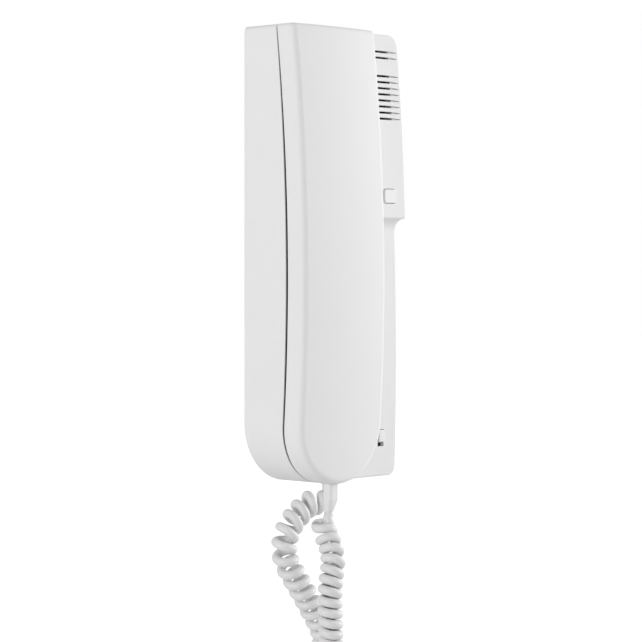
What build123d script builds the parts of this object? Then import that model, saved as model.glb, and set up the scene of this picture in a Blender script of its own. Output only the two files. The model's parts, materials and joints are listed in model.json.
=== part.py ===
from build123d import *
import os
from math import cos, degrees, dist, pi, radians, sin, sqrt, tan

# Wall-mounted audio intercom with a handset on a curly cord, in millimetres.
# The wall is the plane y = 0, the front faces -Y and +Z is up.
# The origin is the middle of the two wall screws, on the back face.

os.makedirs("parts", exist_ok=True)

# Base: outline seen from the front, and depth from the wall to its bowed front
body_width = 85.5
body_height = 217.2
base_depth_end = 22.1
base_depth_mid = 27.4
bow_drop_height = 11.0
base_top_left_radius = 2.5
base_top_right_radius = 5.5
base_bottom_right_radius = 4.5
wall_thickness = 2.2
strip_edge_round = 1.0
strip_edge_under = 3.0
cradle_depth = 2.4
cradle_rim_width = 0.6

# Fits shared by all the mouldings
fit_gap = 0.25
seat_gap = 0.3
thread_gap = 0.1
overrun = 2.0

# Handset: outline, and depth from the wall to its bowed back and front
handset_width = 57.8
handset_gap_end = 0.8
handset_gap_mid = 1.5
handset_depth = 10.1
handset_crown = 2.0
handset_wall = 2.2
handset_edge_round = 3.5
handset_top_round = 2.0
handset_lip = 1.2
handset_panel = 2.0
lift_angle = 20.0

# Ear cup and mouthpiece on the handset's back, and the pockets that take them
ear_top_height = 32.0
ear_radius = 22.0
mouth_radius = 15.0
cup_depth = 10.0
cup_wall = 2.0
cup_end_wall = 1.8
cup_rim = 1.0
pocket_floor = 1.8
pocket_wall = 1.8
pocket_gap = 0.5
ear_hole_radius = 1.1
ear_hole_inner_count = 6
ear_hole_inner_circle_radius = 5.0
ear_hole_outer_count = 12
ear_hole_outer_circle_radius = 10.0
mouth_hole_radius = 0.9
mouth_hole_count = 5
mouth_hole_circle_radius = 3.4

# Lower strip, set back beside the handset as a finger grip
lower_depth_end = 19.9
lower_depth_mid = 21.1
cove_radius = 6.4
recess_top = 18.0
recess_under = 6.8

# Wall plate
plate_rim_depth = 6.8
plate_floor = 2.2
tongue_wall = 1.2
tongue_height = 2.4
wall_screw_spacing = 60.0
wall_screw_radius = 2.1
wall_screw_pad_radius = 5.5
wall_screw_pad_height = 0.8
window_width = 34.0
window_height = 26.0
window_corner = 3.0

# Call grille
slot_height = 1.1
slot_spacing = 3.0
slot_top_height = 8.6
slot_places = (0, 1, 4, 5, 6, 7, 8, 9, 10, 11)
slot_edge_width = 17.1
slot_length = 10.4
slot_tail_length = 5.8
slot_tail_depth = 1.0

# Call speaker behind the grille
speaker_width = 15.0
speaker_height = 38.0
speaker_corner = 4.0
speaker_edge_width = 12.5
speaker_top_height = 25.1
speaker_flange = 1.2
speaker_seat_width = 1.3
speaker_seat_gap = 0.6
collar_wall = 1.2
collar_overlap = 1.0
basket_depth = 4.2
basket_inset = 1.2
basket_taper = 18.0
basket_wall = 0.8
cone_wall = 0.5
cone_depth = 2.4
cone_taper = 30.0
magnet_radius = 5.4
magnet_depth = 3.4
mesh_thickness = 0.3

# Door button and the switch under it
button_width = 9.0
button_height = 7.3
button_corner = 1.4
button_edge_width = 11.65
button_over_recess_height = 11.0
button_proud = 0.7
button_round = 0.5
button_travel = 1.2
button_flange = 0.9
button_flange_depth = 1.2
button_stem_radius = 1.9
door_switch_size = 6.0
door_switch_depth = 4.0
door_bore_depth = 2.6
door_plunger_radius = 1.6
door_plunger_gap = 0.15
door_plunger_proud = 1.6

# Volume slide switch
volume_slot_width = 4.4
volume_slot_height = 8.4
volume_edge_width = 11.4
volume_over_bottom_height = 18.9
knob_height = 5.8
knob_proud = 0.7
knob_round = 0.4
knob_flange = 0.8
knob_flange_depth = 1.0
knob_stem = 1.8
volume_switch_width = 5.0
volume_switch_height = 12.0
volume_switch_depth = 3.4
volume_groove_depth = 1.6

# Circuit board, seen from the front
board_back = 6.0
board_thickness = 1.6
board_edge_gap = 3.8
board_width = 26.2
board_end_gap = 7.5
board_ear_width = 11.0
board_ear_over_height = 8.0
board_ear_under_height = 13.0
board_foot_width = 6.8
board_foot_height = 16.5
board_post_radius = 2.6
board_screw_radius = 1.1
board_screw_head_radius = 2.1
board_screw_head = 1.3
board_screw_length = 4.8
board_screw_edge_width = 3.6
board_screw_ear_height = 4.0
board_screw_foot_height = 16.0

# Parts soldered to the board
terminal_count = 5
terminal_spacing = 5.0
terminal_width = 8.0
terminal_cover_gap = 1.7
terminal_side_width = 13.0
terminal_height_share = 0.416
terminal_end_wall = 0.6
terminal_well_radius = 1.9
terminal_well_depth = 3.0
terminal_screw_radius = 1.7
terminal_screw_head = 1.2
terminal_screw_slot = 0.5
terminal_entry_radius = 1.3
terminal_entry_depth = 4.0
terminal_entry_height = 2.8
chip_width = 4.0
chip_height = 10.0
chip_depth = 1.5
chip_standoff = 0.2
chip_side_width = 8.0
chip_height_share = 0.624
chip_leg_count = 8
chip_leg_spacing = 1.27
chip_leg_width = 0.5
chip_leg_length = 1.0
chip_leg_rise = 0.7
capacitor_radius = 3.1
capacitor_under_terminal = 1.6
capacitor_round = 0.5
capacitor_side_width = 14.2
capacitor_height_share = 0.176
capacitor_spacing = 7.8
capacitor_count = 3
resistor_width = 1.6
resistor_height = 3.2
resistor_depth = 0.6
resistor_side_width = 7.0
resistor_height_share = 0.832
resistor_spacing = 3.4
resistor_count = 5

# Hook switch
plunger_side_width = 16.1
plunger_under_ear_height = 10.0
plunger_radius = 2.0
plunger_flange_radius = 3.4
plunger_flange = 0.8
plunger_tail = 1.0
plunger_tip_gap = 0.1
spring_length = 1.4
spring_wire_radius = 0.2
spring_turns = 2
spring_sides = 4
hook_switch_width = 5.8
hook_switch_height = 12.8
hook_switch_gap = 0.8
hook_switch_round = 0.4
hook_pin_width = 1.0
hook_pin_height = 1.6
hook_pin_gap = 0.2

# Cover screw in the bottom edge
cover_screw_edge_width = 18.75
cover_screw_inside_depth = 2.4
cover_screw_radius = 1.4
cover_screw_head_radius = 2.5
cover_screw_head = 1.3
cover_screw_length = 5.4
cover_lug_width = 7.0
cover_lug_height = 4.6
cover_lug_gap = 2.6

# Curly cord: wire, curls, and the lengths over which the curls open from a straight end
cord_radius = 2.2
cord_sides = 5
curl_radius = 3.95
curl_spacing_open = 6.4
curl_spacing_closed = 4.9
curl_spacing_lead = 13.0
curl_gap = 0.76
curl_lead = 14.0
curl_steps = 1500

# The two ends of the cord
cord_exit_side_width = 6.2
cord_exit_depth = 11.6
grommet_wall = 1.1
grommet_flange = 1.2
grommet_flange_height = 1.2
grommet_collar = 0.7
grommet_collar_height = 0.8
grommet_tail = 2.2
grommet_tail_wall = 0.6
header_width = 6.0
header_height = 4.2
header_depth = 7.8
header_foot_gap = 0.2
header_round = 0.5
boot_width = 6.4
boot_thickness = 5.2
boot_corner = 1.6
boot_in_depth = 6.9
boot_side_width = 0.7
boot_length = 13.0
boot_straight = 7.5
boot_end_wall = 0.3
boot_end_shift_width = 0.7
boot_flange = 0.6
boot_flange_height = 1.2

# Inside the handset
capsule_radius = 16.0
capsule_depth = 6.6
capsule_back_radius = 9.0
capsule_back_depth = 1.6
capsule_round = 0.8
gasket_depth = 1.0
gasket_width = 2.5
microphone_radius = 4.85
microphone_depth = 4.6
microphone_sleeve = 2.0
microphone_floor = 0.8
handset_screw_ear_height = 34.0
handset_screw_mouth_height = 35.1
handset_screw_radius = 1.3
handset_screw_head_radius = 2.6
handset_screw_head = 1.5
handset_screw_length = 7.0
handset_screw_boss = 3.6
handset_post_radius = 3.2

# Places that follow from the sizes above
left = -body_width / 2
right = body_width / 2
top = body_height / 2
bottom = -body_height / 2
handset_right = left + handset_width
handset_middle = left + handset_width / 2
handset_back_end = base_depth_end + handset_gap_end
handset_back_mid = base_depth_mid + handset_gap_mid
handset_front_end = handset_back_end + handset_depth
handset_front_mid = handset_back_mid + handset_depth
ear_height = top - ear_top_height
mouth_height = bottom + handset_width / 2
handset_screw_heights = (ear_height - handset_screw_ear_height, mouth_height + handset_screw_mouth_height)
recess_left = handset_right - recess_under
cove_bottom = recess_top - cove_radius
slot_left = right - slot_edge_width
slot_first_height = top - slot_top_height
speaker_x = right - speaker_edge_width
speaker_z = top - speaker_top_height
button_x = right - button_edge_width
button_z = recess_top + button_over_recess_height
volume_x = right - volume_edge_width
volume_z = bottom + volume_over_bottom_height
plunger_x = handset_middle + plunger_side_width
plunger_z = ear_height - plunger_under_ear_height
cover_screw_x = right - cover_screw_edge_width
cover_lug_depth = lower_depth_end - wall_thickness - cover_lug_gap
cover_screw_depth = cover_lug_depth - cover_screw_inside_depth
cord_exit_x = recess_left - cord_exit_side_width
boot_x = handset_middle - boot_side_width
boot_depth = handset_back_end + boot_in_depth

# Places on the circuit board, with heights as shares of the way from its lower to its upper screws
board_front = board_back + board_thickness
board_right = right - board_edge_gap
board_left = board_right - board_width
board_top = plunger_z + board_ear_over_height
board_ear_left = plunger_x - board_ear_width
board_ear_bottom = plunger_z - board_ear_under_height
board_bottom = bottom + board_end_gap
board_foot_left = cord_exit_x - board_foot_width
board_foot_top = board_bottom + board_foot_height
upper_screw_z = board_ear_bottom + board_screw_ear_height
lower_screw_z = board_foot_top + board_screw_foot_height
board_screw_places = (
    (board_ear_left + board_screw_edge_width, upper_screw_z),
    (board_right - board_screw_edge_width, upper_screw_z),
    (board_left + board_screw_edge_width, lower_screw_z),
    (board_right - board_screw_edge_width, lower_screw_z),
)
screw_span = upper_screw_z - lower_screw_z
terminal_x = board_left + terminal_side_width
terminal_z = lower_screw_z + terminal_height_share * screw_span
terminal_depth = lower_depth_mid - wall_thickness - terminal_cover_gap - board_front
chip_x = board_left + chip_side_width
chip_z = lower_screw_z + chip_height_share * screw_span
capacitor_x = board_left + capacitor_side_width
capacitor_z = lower_screw_z + capacitor_height_share * screw_span
capacitor_depth = terminal_depth - capacitor_under_terminal
resistor_x = board_left + resistor_side_width
resistor_z = lower_screw_z + resistor_height_share * screw_span
header_z = board_bottom + header_foot_gap + header_height / 2
lift_direction = Vector(0, -cos(radians(lift_angle)), sin(radians(lift_angle)))
grommet_radius = cord_radius + grommet_wall
tongue_inset = wall_thickness + fit_gap


def arc_rise(across, half_span, rise):
    """Height of an arc above its chord, at a distance from the chord's middle."""
    radius = (half_span**2 + rise**2) / (2 * rise)
    return rise - radius + sqrt(radius**2 - across**2)


def bowed(height, end_depth, mid_depth):
    """Depth of a face that bows out most a little below the middle of the body."""
    return end_depth + arc_rise(height + bow_drop_height, top, mid_depth - end_depth)


def base_depth(height):
    """Depth from the wall to the base's front."""
    return bowed(height, base_depth_end, base_depth_mid)


def handset_back(height):
    """Depth from the wall to the handset's back."""
    return bowed(height, handset_back_end, handset_back_mid)


def lower_depth(height):
    """Depth from the wall to the front of the lower strip."""
    half_span = (cove_bottom - bottom) / 2
    return lower_depth_end + arc_rise(
        height - bottom - half_span, half_span, lower_depth_mid - lower_depth_end
    )


def outline(low_x, high_x, radii, inset, depth):
    """Front view outline on a plane in front of the wall, drawn in by inset on every side.
    The radii are those of the top left, top right, bottom right and bottom left corners."""
    x0, x1 = low_x + inset, high_x - inset
    z0, z1 = bottom + inset, top - inset
    tl, tr, br, bl = [r - inset if r - inset > fit_gap else 0 for r in radii]
    with BuildSketch(Plane.XZ.offset(depth), mode=Mode.PRIVATE) as face:
        with BuildLine():
            if tl:
                CenterArc((x0 + tl, z1 - tl), tl, 90, 90)
            Line((x0 + tl, z1), (x1 - tr, z1))
            if tr:
                CenterArc((x1 - tr, z1 - tr), tr, 0, 90)
            Line((x1, z1 - tr), (x1, z0 + br))
            if br:
                CenterArc((x1 - br, z0 + br), br, 270, 90)
            if x1 - br > x0 + bl + fit_gap:
                Line((x1 - br, z0), (x0 + bl, z0))
            if bl:
                CenterArc((x0 + bl, z0 + bl), bl, 180, 90)
            Line((x0, z0 + bl), (x0, z1 - tl))
        make_face()
    return face.sketch


def base_outline(inset=0.0, depth=0.0):
    corners = (base_top_left_radius, base_top_right_radius, base_bottom_right_radius, handset_width / 2)
    return outline(left, right, corners, inset, depth)


def handset_outline(inset=0.0, depth=0.0):
    return outline(left, handset_right, (0, 0, handset_width / 2, handset_width / 2), inset, depth)


def bowed_block(front_view, end_depth, mid_depth):
    """Solid from the wall to a front that bows out between the top and the bottom."""
    low, high = bottom - overrun, top + overrun
    depths = bowed(low, end_depth, mid_depth), bowed(high, end_depth, mid_depth)
    with BuildPart(mode=Mode.PRIVATE) as block:
        extrude(front_view, amount=mid_depth + overrun)
        with BuildSketch(Plane.YZ):
            with BuildLine():
                ThreePointArc((-depths[0], low), (-mid_depth, -bow_drop_height), (-depths[1], high))
                Polyline((-depths[1], high), (0, high), (0, low), (-depths[0], low))
            make_face()
        extrude(amount=body_width, both=True, mode=Mode.INTERSECT)
    return block.part


def crowned_block(front_view, inset):
    """Solid from the wall to the handset's front, which bows lengthwise and is crowned across."""
    bow = handset_front_mid - handset_front_end
    bow_radius = (top**2 + bow**2) / (2 * bow)
    axis_y = bow_radius - handset_front_mid
    half_turn = (top + overrun + bow_drop_height) / bow_radius
    across = handset_width / 2 + overrun
    crest = bow_radius - inset + handset_crown
    edge = bow_radius - inset + arc_rise(across, handset_width / 2, handset_crown)
    centre = (handset_middle, axis_y, -bow_drop_height)
    start = Plane(origin=centre, x_dir=(1, 0, 0), z_dir=(0, sin(half_turn), -cos(half_turn)))
    with BuildPart(mode=Mode.PRIVATE) as block:
        with BuildSketch(start):
            with BuildLine():
                ThreePointArc((-across, edge), (0, crest), (across, edge))
                Polyline((across, edge), (across, axis_y), (-across, axis_y), (-across, edge))
            make_face()
        revolve(axis=Axis(centre, (-1, 0, 0)), revolution_arc=degrees(2 * half_turn))
        extrude(front_view, amount=handset_front_mid + handset_crown + overrun, mode=Mode.INTERSECT)
    return block.part


def cup_centre(height, depth):
    """Centre of a cup at a depth from the wall, for a cup whose centre has the given height where
    the handset's back lies."""
    return handset_middle, height - (handset_back(height) - depth) * tan(radians(lift_angle))


def slanted_cylinder(height, radius, back_depth, front_depth):
    """Cylinder along the way the handset lifts, between two depths."""
    with BuildPart(mode=Mode.PRIVATE) as cylinder:
        with BuildSketch(Plane.XZ.offset(back_depth)):
            with Locations(cup_centre(height, back_depth)):
                Circle(radius)
        extrude(amount=(front_depth - back_depth) / cos(radians(lift_angle)), dir=lift_direction)
    return cylinder.part


def screw_at(seat, radius, length, head_radius, head):
    """Pan head screw along the seat's normal, its head behind the seat."""
    with BuildPart(mode=Mode.PRIVATE) as screw:
        with BuildSketch(seat):
            Circle(radius)
        extrude(amount=length)
        with BuildSketch(seat):
            Circle(head_radius)
        extrude(amount=-head)
        chamfer(screw.edges().sort_by(Axis(seat.origin, seat.z_dir))[0], head / 3)
    return screw.part


def common(first, second):
    """What two solids share."""
    with BuildPart(mode=Mode.PRIVATE) as shared:
        add(first)
        add(second, mode=Mode.INTERSECT)
    return shared.part


def save(builder, label):
    builder.part.label = label
    export_step(builder.part, f"parts/{label}.step")


# Depths of the cups' ends and of the pocket floors behind them
ear_end = handset_back(ear_height) - cup_depth
mouth_end = handset_back(mouth_height) - cup_depth
ear_floor = ear_end - seat_gap
mouth_floor = mouth_end - seat_gap
pockets = ((ear_height, ear_radius, ear_floor), (mouth_height, mouth_radius, mouth_floor))

# Wall plate
with BuildPart() as wall_plate:
    extrude(base_outline(), amount=plate_rim_depth)
    extrude(base_outline(tongue_inset, plate_rim_depth), amount=tongue_height)
    tray = base_outline(tongue_inset + tongue_wall, plate_floor)
    extrude(tray, amount=plate_rim_depth + tongue_height, mode=Mode.SUBTRACT)
    with BuildSketch(Plane.XZ.offset(plate_floor)):
        with GridLocations(0, wall_screw_spacing, 1, 2):
            Circle(wall_screw_pad_radius)
    extrude(amount=wall_screw_pad_height)
    with BuildSketch(Plane.XZ):
        with GridLocations(0, wall_screw_spacing, 1, 2):
            Circle(wall_screw_radius)
        RectangleRounded(window_width, window_height, window_corner)
    extrude(amount=plate_rim_depth, mode=Mode.SUBTRACT)
    with BuildSketch(Plane.XZ.offset(plate_floor)):
        with Locations(*board_screw_places):
            Circle(board_post_radius)
    extrude(amount=board_back - plate_floor)
    with BuildSketch(Plane.XZ.offset(board_back)):
        with Locations(*board_screw_places):
            Circle(board_screw_radius + thread_gap)
    extrude(amount=plate_floor - board_back, mode=Mode.SUBTRACT)
    # Lug for the cover screw
    with BuildSketch(Plane.XZ.offset(plate_floor)):
        with Locations((cover_screw_x, bottom + tongue_inset + cover_lug_height / 2)):
            Rectangle(cover_lug_width, cover_lug_height)
    extrude(amount=cover_lug_depth - plate_floor)
    with BuildSketch(Plane.XY.offset(bottom + tongue_inset)):
        with Locations((cover_screw_x, -cover_screw_depth)):
            Circle(cover_screw_radius + thread_gap)
    extrude(amount=cover_lug_height, mode=Mode.SUBTRACT)
    # Gap in the tongue for the cord's grommet
    with BuildSketch(Plane.XZ.offset(plate_rim_depth)):
        with Locations((cord_exit_x, bottom + tongue_inset + tongue_wall / 2)):
            Rectangle(2 * (grommet_radius + grommet_flange + fit_gap), tongue_wall + overrun)
    extrude(amount=tongue_height, mode=Mode.SUBTRACT)
save(wall_plate, "wall_plate")

# Base cover: its outer form, with the strip beside the handset rounded at its outer edge
sharp_form = bowed_block(base_outline(), base_depth_end, base_depth_mid)
strip_line = Plane.YZ.offset(handset_right - strip_edge_under)
with BuildPart(mode=Mode.PRIVATE) as rounded_form:
    add(sharp_form)
    split(bisect_by=strip_line, keep=Keep.TOP)
    strip_edges = rounded_form.faces().sort_by(Axis.Y)[0].edges()
    right_edges = strip_edges.filter_by(lambda edge: (edge @ 0.5).X > strip_line.origin.X + fit_gap)
    fillet(right_edges, strip_edge_round)


def cradle_space(inset, depth):
    """Room for the handset in front of a floor that lies at a depth below the base's front."""
    corners = (base_top_left_radius, 0, handset_width / 2, handset_width / 2)
    floor = bowed_block(base_outline(-overrun), base_depth_end - depth, base_depth_mid - depth)
    with BuildPart(mode=Mode.PRIVATE) as space:
        extrude(outline(left, handset_right, corners, inset, 0), amount=handset_front_mid)
        add(floor, mode=Mode.SUBTRACT)
    return space.part


with BuildPart(mode=Mode.PRIVATE) as outer_form:
    add(sharp_form)
    split(bisect_by=strip_line, keep=Keep.BOTTOM)
    add(rounded_form.part)
    with BuildSketch(Plane.XZ):
        Rectangle(2 * body_width, 2 * body_height)
    extrude(amount=plate_rim_depth, mode=Mode.SUBTRACT)
    add(cradle_space(cradle_rim_width, cradle_depth), mode=Mode.SUBTRACT)

# The lower strip: a bowed face of its own below a cove, and the same again one wall deeper
lower_mid = (cove_bottom + bottom) / 2
with BuildPart(mode=Mode.PRIVATE) as recess:
    with BuildSketch(Plane.YZ.offset(recess_left)):
        with BuildLine():
            foot = (-lower_depth(bottom - overrun), bottom - overrun)
            ThreePointArc(foot, (-lower_depth_mid, lower_mid), (-lower_depth_end, cove_bottom))
            CenterArc((-lower_depth_end - cove_radius, cove_bottom), cove_radius, 0, 90)
            Polyline(
                (-lower_depth_end - cove_radius, recess_top),
                (-handset_front_mid, recess_top),
                (-handset_front_mid, bottom - overrun),
                foot,
            )
        make_face()
    extrude(amount=right - recess_left + overrun)

with BuildPart(mode=Mode.PRIVATE) as stepped_form:
    add(outer_form.part)
    add(recess.part, mode=Mode.SUBTRACT)
    lower_face = stepped_form.faces().sort_by_distance((volume_x, -lower_depth_mid, lower_mid))[0]
    lower_edges = lower_face.edges().filter_by(
        lambda edge: (edge @ 0.5).X > recess_left + fit_gap and (edge @ 0.5).Z < cove_bottom - fit_gap
    )
    fillet(lower_edges, strip_edge_round)

with BuildPart(mode=Mode.PRIVATE) as backing:
    with BuildSketch(Plane.YZ.offset(recess_left - wall_thickness)):
        with BuildLine():
            inner_depth = lower_depth_end - wall_thickness
            inner_middle = (wall_thickness - lower_depth_mid, lower_mid)
            ledge = recess_top + wall_thickness
            ThreePointArc((-inner_depth, bottom), inner_middle, (-inner_depth, cove_bottom))
            Polyline(
                (-inner_depth, cove_bottom),
                (-inner_depth, ledge),
                (-handset_front_mid, ledge),
                (-handset_front_mid, bottom),
                (-inner_depth, bottom),
            )
        make_face()
    extrude(amount=right - recess_left + wall_thickness)

hollow = bowed_block(
    base_outline(wall_thickness), base_depth_end - wall_thickness, base_depth_mid - wall_thickness
)
cradle_backing = cradle_space(cradle_rim_width - wall_thickness, cradle_depth + wall_thickness)
strip_hollow = hollow - backing.part - cradle_backing
seat_depth = base_depth(speaker_z + speaker_height / 2) - wall_thickness - speaker_seat_gap
speaker_back = seat_depth - mesh_thickness - speaker_flange


def speaker_outline(inset, depth):
    """The speaker's rounded outline on a plane in front of the wall, drawn in by inset."""
    with BuildSketch(Plane.XZ.offset(depth), mode=Mode.PRIVATE) as face:
        with Locations((speaker_x, speaker_z)):
            RectangleRounded(speaker_width - 2 * inset, speaker_height - 2 * inset, speaker_corner - inset)
    return face.sketch


with BuildPart(mode=Mode.PRIVATE) as sound_space:
    extrude(speaker_outline(speaker_seat_width, seat_depth), amount=base_depth_mid)
    add(hollow, mode=Mode.INTERSECT)

with BuildPart(mode=Mode.PRIVATE) as collar:
    extrude(speaker_outline(-fit_gap - collar_wall, speaker_back + collar_overlap), amount=base_depth_mid)
    add(outer_form.part, mode=Mode.INTERSECT)

with BuildPart() as base_cover:
    add(stepped_form.part)
    add(strip_hollow, mode=Mode.SUBTRACT)
    # Pockets for the ear cup and the mouthpiece
    for height, radius, floor in pockets:
        well_radius = radius + pocket_gap + pocket_wall
        well = slanted_cylinder(height, well_radius, floor - pocket_floor, handset_front_mid)
        add(common(well, outer_form.part))
    for height, radius, floor in pockets:
        add(slanted_cylinder(height, radius + pocket_gap, floor, handset_front_mid), mode=Mode.SUBTRACT)
    with BuildSketch(Plane.XZ.offset(ear_floor)):
        with Locations((plunger_x, plunger_z)):
            Circle(plunger_radius + fit_gap)
    extrude(amount=-pocket_floor - overrun, mode=Mode.SUBTRACT)
    # Collar and seat for the call speaker
    add(collar.part)
    extrude(speaker_outline(-fit_gap, speaker_back), amount=seat_depth - speaker_back, mode=Mode.SUBTRACT)
    add(sound_space.part, mode=Mode.SUBTRACT)
    # Grille slots, each with a shallow tail that runs out to a point
    for place in slot_places:
        slot_z = slot_first_height - place * slot_spacing
        with BuildSketch(Plane.XZ.offset(seat_depth)):
            with Locations((slot_left + slot_length / 2, slot_z)):
                Rectangle(slot_length, slot_height)
        extrude(amount=base_depth_mid, mode=Mode.SUBTRACT)
        with BuildSketch(Plane.XZ.offset(base_depth(slot_z) - slot_tail_depth)):
            with BuildLine():
                tail_left = slot_left + slot_length
                Polyline(
                    (tail_left, slot_z - slot_height / 2),
                    (tail_left + slot_tail_length, slot_z),
                    (tail_left, slot_z + slot_height / 2),
                    close=True,
                )
            make_face()
        extrude(amount=base_depth_mid, mode=Mode.SUBTRACT)
    # Openings for the door button and the volume knob
    with BuildSketch(Plane.XZ.offset(board_front)):
        with Locations((button_x, button_z)):
            RectangleRounded(button_width, button_height, button_corner)
        with Locations((volume_x, volume_z)):
            RectangleRounded(volume_slot_width, volume_slot_height, knob_round)
    extrude(amount=base_depth_mid, mode=Mode.SUBTRACT)
    # Holes in the bottom edge for the cord's grommet and the cover screw
    with BuildSketch(Plane.XY.offset(bottom)):
        with Locations((cord_exit_x, -cord_exit_depth)):
            Circle(grommet_radius + thread_gap)
        with Locations((cover_screw_x, -cover_screw_depth)):
            Circle(cover_screw_radius + fit_gap)
    extrude(amount=wall_thickness, mode=Mode.SUBTRACT)
    with BuildSketch(Plane.XY.offset(bottom)):
        with Locations((cover_screw_x, -cover_screw_depth)):
            Circle(cover_screw_head_radius + fit_gap)
    extrude(amount=cover_screw_head, mode=Mode.SUBTRACT)
save(base_cover, "base_cover")

with BuildPart() as cover_screw:
    seat = Plane(origin=(cover_screw_x, -cover_screw_depth, bottom + cover_screw_head), z_dir=(0, 0, 1))
    add(screw_at(seat, cover_screw_radius, cover_screw_length, cover_screw_head_radius, cover_screw_head))
save(cover_screw, "cover_screw")

# Circuit board: a long limb beside the window, with a foot at each end
with BuildPart() as circuit_board:
    with BuildSketch(Plane.XZ.offset(board_back)):
        with BuildLine():
            Polyline(
                (board_right, board_top),
                (board_right, board_bottom),
                (board_foot_left, board_bottom),
                (board_foot_left, board_foot_top),
                (board_left, board_foot_top),
                (board_left, board_ear_bottom),
                (board_ear_left, board_ear_bottom),
                (board_ear_left, board_top),
                close=True,
            )
        make_face()
        with Locations(*board_screw_places):
            Circle(board_screw_radius + thread_gap, mode=Mode.SUBTRACT)
    extrude(amount=board_thickness)
save(circuit_board, "circuit_board")

with BuildPart() as board_screws:
    for x, z in board_screw_places:
        seat = Plane(origin=(x, -board_front, z), z_dir=(0, 1, 0))
        add(screw_at(seat, board_screw_radius, board_screw_length, board_screw_head_radius, board_screw_head))
save(board_screws, "board_screws")

# Terminal block for the wires from the wall
terminal_front = board_front + terminal_depth
with BuildPart() as terminal_block:
    with BuildSketch(Plane.XZ.offset(board_front)):
        with Locations((terminal_x, terminal_z)):
            Rectangle(terminal_width, terminal_count * terminal_spacing + 2 * terminal_end_wall)
    extrude(amount=terminal_depth)
    with BuildSketch(Plane.XZ.offset(terminal_front)):
        with Locations((terminal_x, terminal_z)):
            with GridLocations(0, terminal_spacing, 1, terminal_count):
                Circle(terminal_well_radius)
    extrude(amount=-terminal_well_depth, mode=Mode.SUBTRACT)
    with BuildSketch(Plane.YZ.offset(terminal_x - terminal_width / 2)):
        with Locations((-board_front - terminal_entry_height, terminal_z)):
            with GridLocations(0, terminal_spacing, 1, terminal_count):
                Circle(terminal_entry_radius)
    extrude(amount=terminal_entry_depth, mode=Mode.SUBTRACT)
save(terminal_block, "terminal_block")

with BuildPart() as terminal_screws:
    with BuildSketch(Plane.XZ.offset(terminal_front - terminal_well_depth)):
        with Locations((terminal_x, terminal_z)):
            with GridLocations(0, terminal_spacing, 1, terminal_count):
                Circle(terminal_screw_radius)
    extrude(amount=terminal_screw_head)
    with BuildSketch(Plane.XZ.offset(terminal_front - terminal_well_depth + terminal_screw_head)):
        with Locations((terminal_x, terminal_z)):
            with GridLocations(0, terminal_spacing, 1, terminal_count):
                Rectangle(2 * terminal_screw_radius, terminal_screw_slot)
    extrude(amount=-terminal_screw_head / 2, mode=Mode.SUBTRACT)
save(terminal_screws, "terminal_screws")

with BuildPart() as audio_chip:
    with BuildSketch(Plane.XZ.offset(board_front + chip_standoff)):
        with Locations((chip_x, chip_z)):
            Rectangle(chip_width, chip_height)
    extrude(amount=chip_depth)
    with BuildSketch(Plane.XZ.offset(board_front)):
        with Locations((chip_x, chip_z)):
            with GridLocations(0, chip_leg_spacing, 1, chip_leg_count):
                Rectangle(chip_width + 2 * chip_leg_length, chip_leg_width)
    extrude(amount=chip_leg_rise)
save(audio_chip, "audio_chip")

with BuildPart() as capacitors:
    with BuildSketch(Plane.XZ.offset(board_front)):
        with Locations((capacitor_x, capacitor_z)):
            with GridLocations(capacitor_spacing, 0, capacitor_count, 1):
                Circle(capacitor_radius)
    extrude(amount=capacitor_depth)
    chamfer(capacitors.edges().group_by(Axis.Y)[0], capacitor_round)
save(capacitors, "capacitors")

with BuildPart() as chip_resistors:
    with BuildSketch(Plane.XZ.offset(board_front)):
        with Locations((resistor_x, resistor_z)):
            with GridLocations(resistor_spacing, 0, resistor_count, 1):
                Rectangle(resistor_width, resistor_height)
    extrude(amount=resistor_depth)
save(chip_resistors, "chip_resistors")

# Call speaker: flange and basket, cone, magnet, and the dust mesh before it
basket_mouth = basket_inset + basket_wall
with BuildPart() as call_speaker_frame:
    extrude(speaker_outline(0, speaker_back), amount=speaker_flange)
    extrude(speaker_outline(basket_inset, speaker_back), amount=-basket_depth, taper=basket_taper)
    extrude(speaker_outline(basket_mouth, speaker_back), amount=speaker_flange, mode=Mode.SUBTRACT)
    extrude(
        speaker_outline(basket_mouth, speaker_back),
        amount=basket_wall - basket_depth,
        taper=basket_taper,
        mode=Mode.SUBTRACT,
    )
save(call_speaker_frame, "call_speaker_frame")

with BuildPart() as call_speaker_cone:
    cone_front = speaker_back + speaker_flange - cone_wall
    cone_inset = basket_mouth + thread_gap
    extrude(speaker_outline(cone_inset, cone_front), amount=-cone_depth, taper=cone_taper)
    extrude(
        speaker_outline(cone_inset + cone_wall, cone_front),
        amount=cone_wall - cone_depth,
        taper=cone_taper,
        mode=Mode.SUBTRACT,
    )
save(call_speaker_cone, "call_speaker_cone")

with BuildPart() as call_speaker_magnet:
    with BuildSketch(Plane.XZ.offset(speaker_back - basket_depth)):
        with Locations((speaker_x, speaker_z)):
            Circle(magnet_radius)
    extrude(amount=-magnet_depth)
    chamfer(call_speaker_magnet.edges().sort_by(Axis.Y)[-1], magnet_depth / 6)
save(call_speaker_magnet, "call_speaker_magnet")

with BuildPart() as grille_mesh:
    extrude(speaker_outline(0, seat_depth - mesh_thickness), amount=mesh_thickness)
save(grille_mesh, "grille_mesh")

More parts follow.
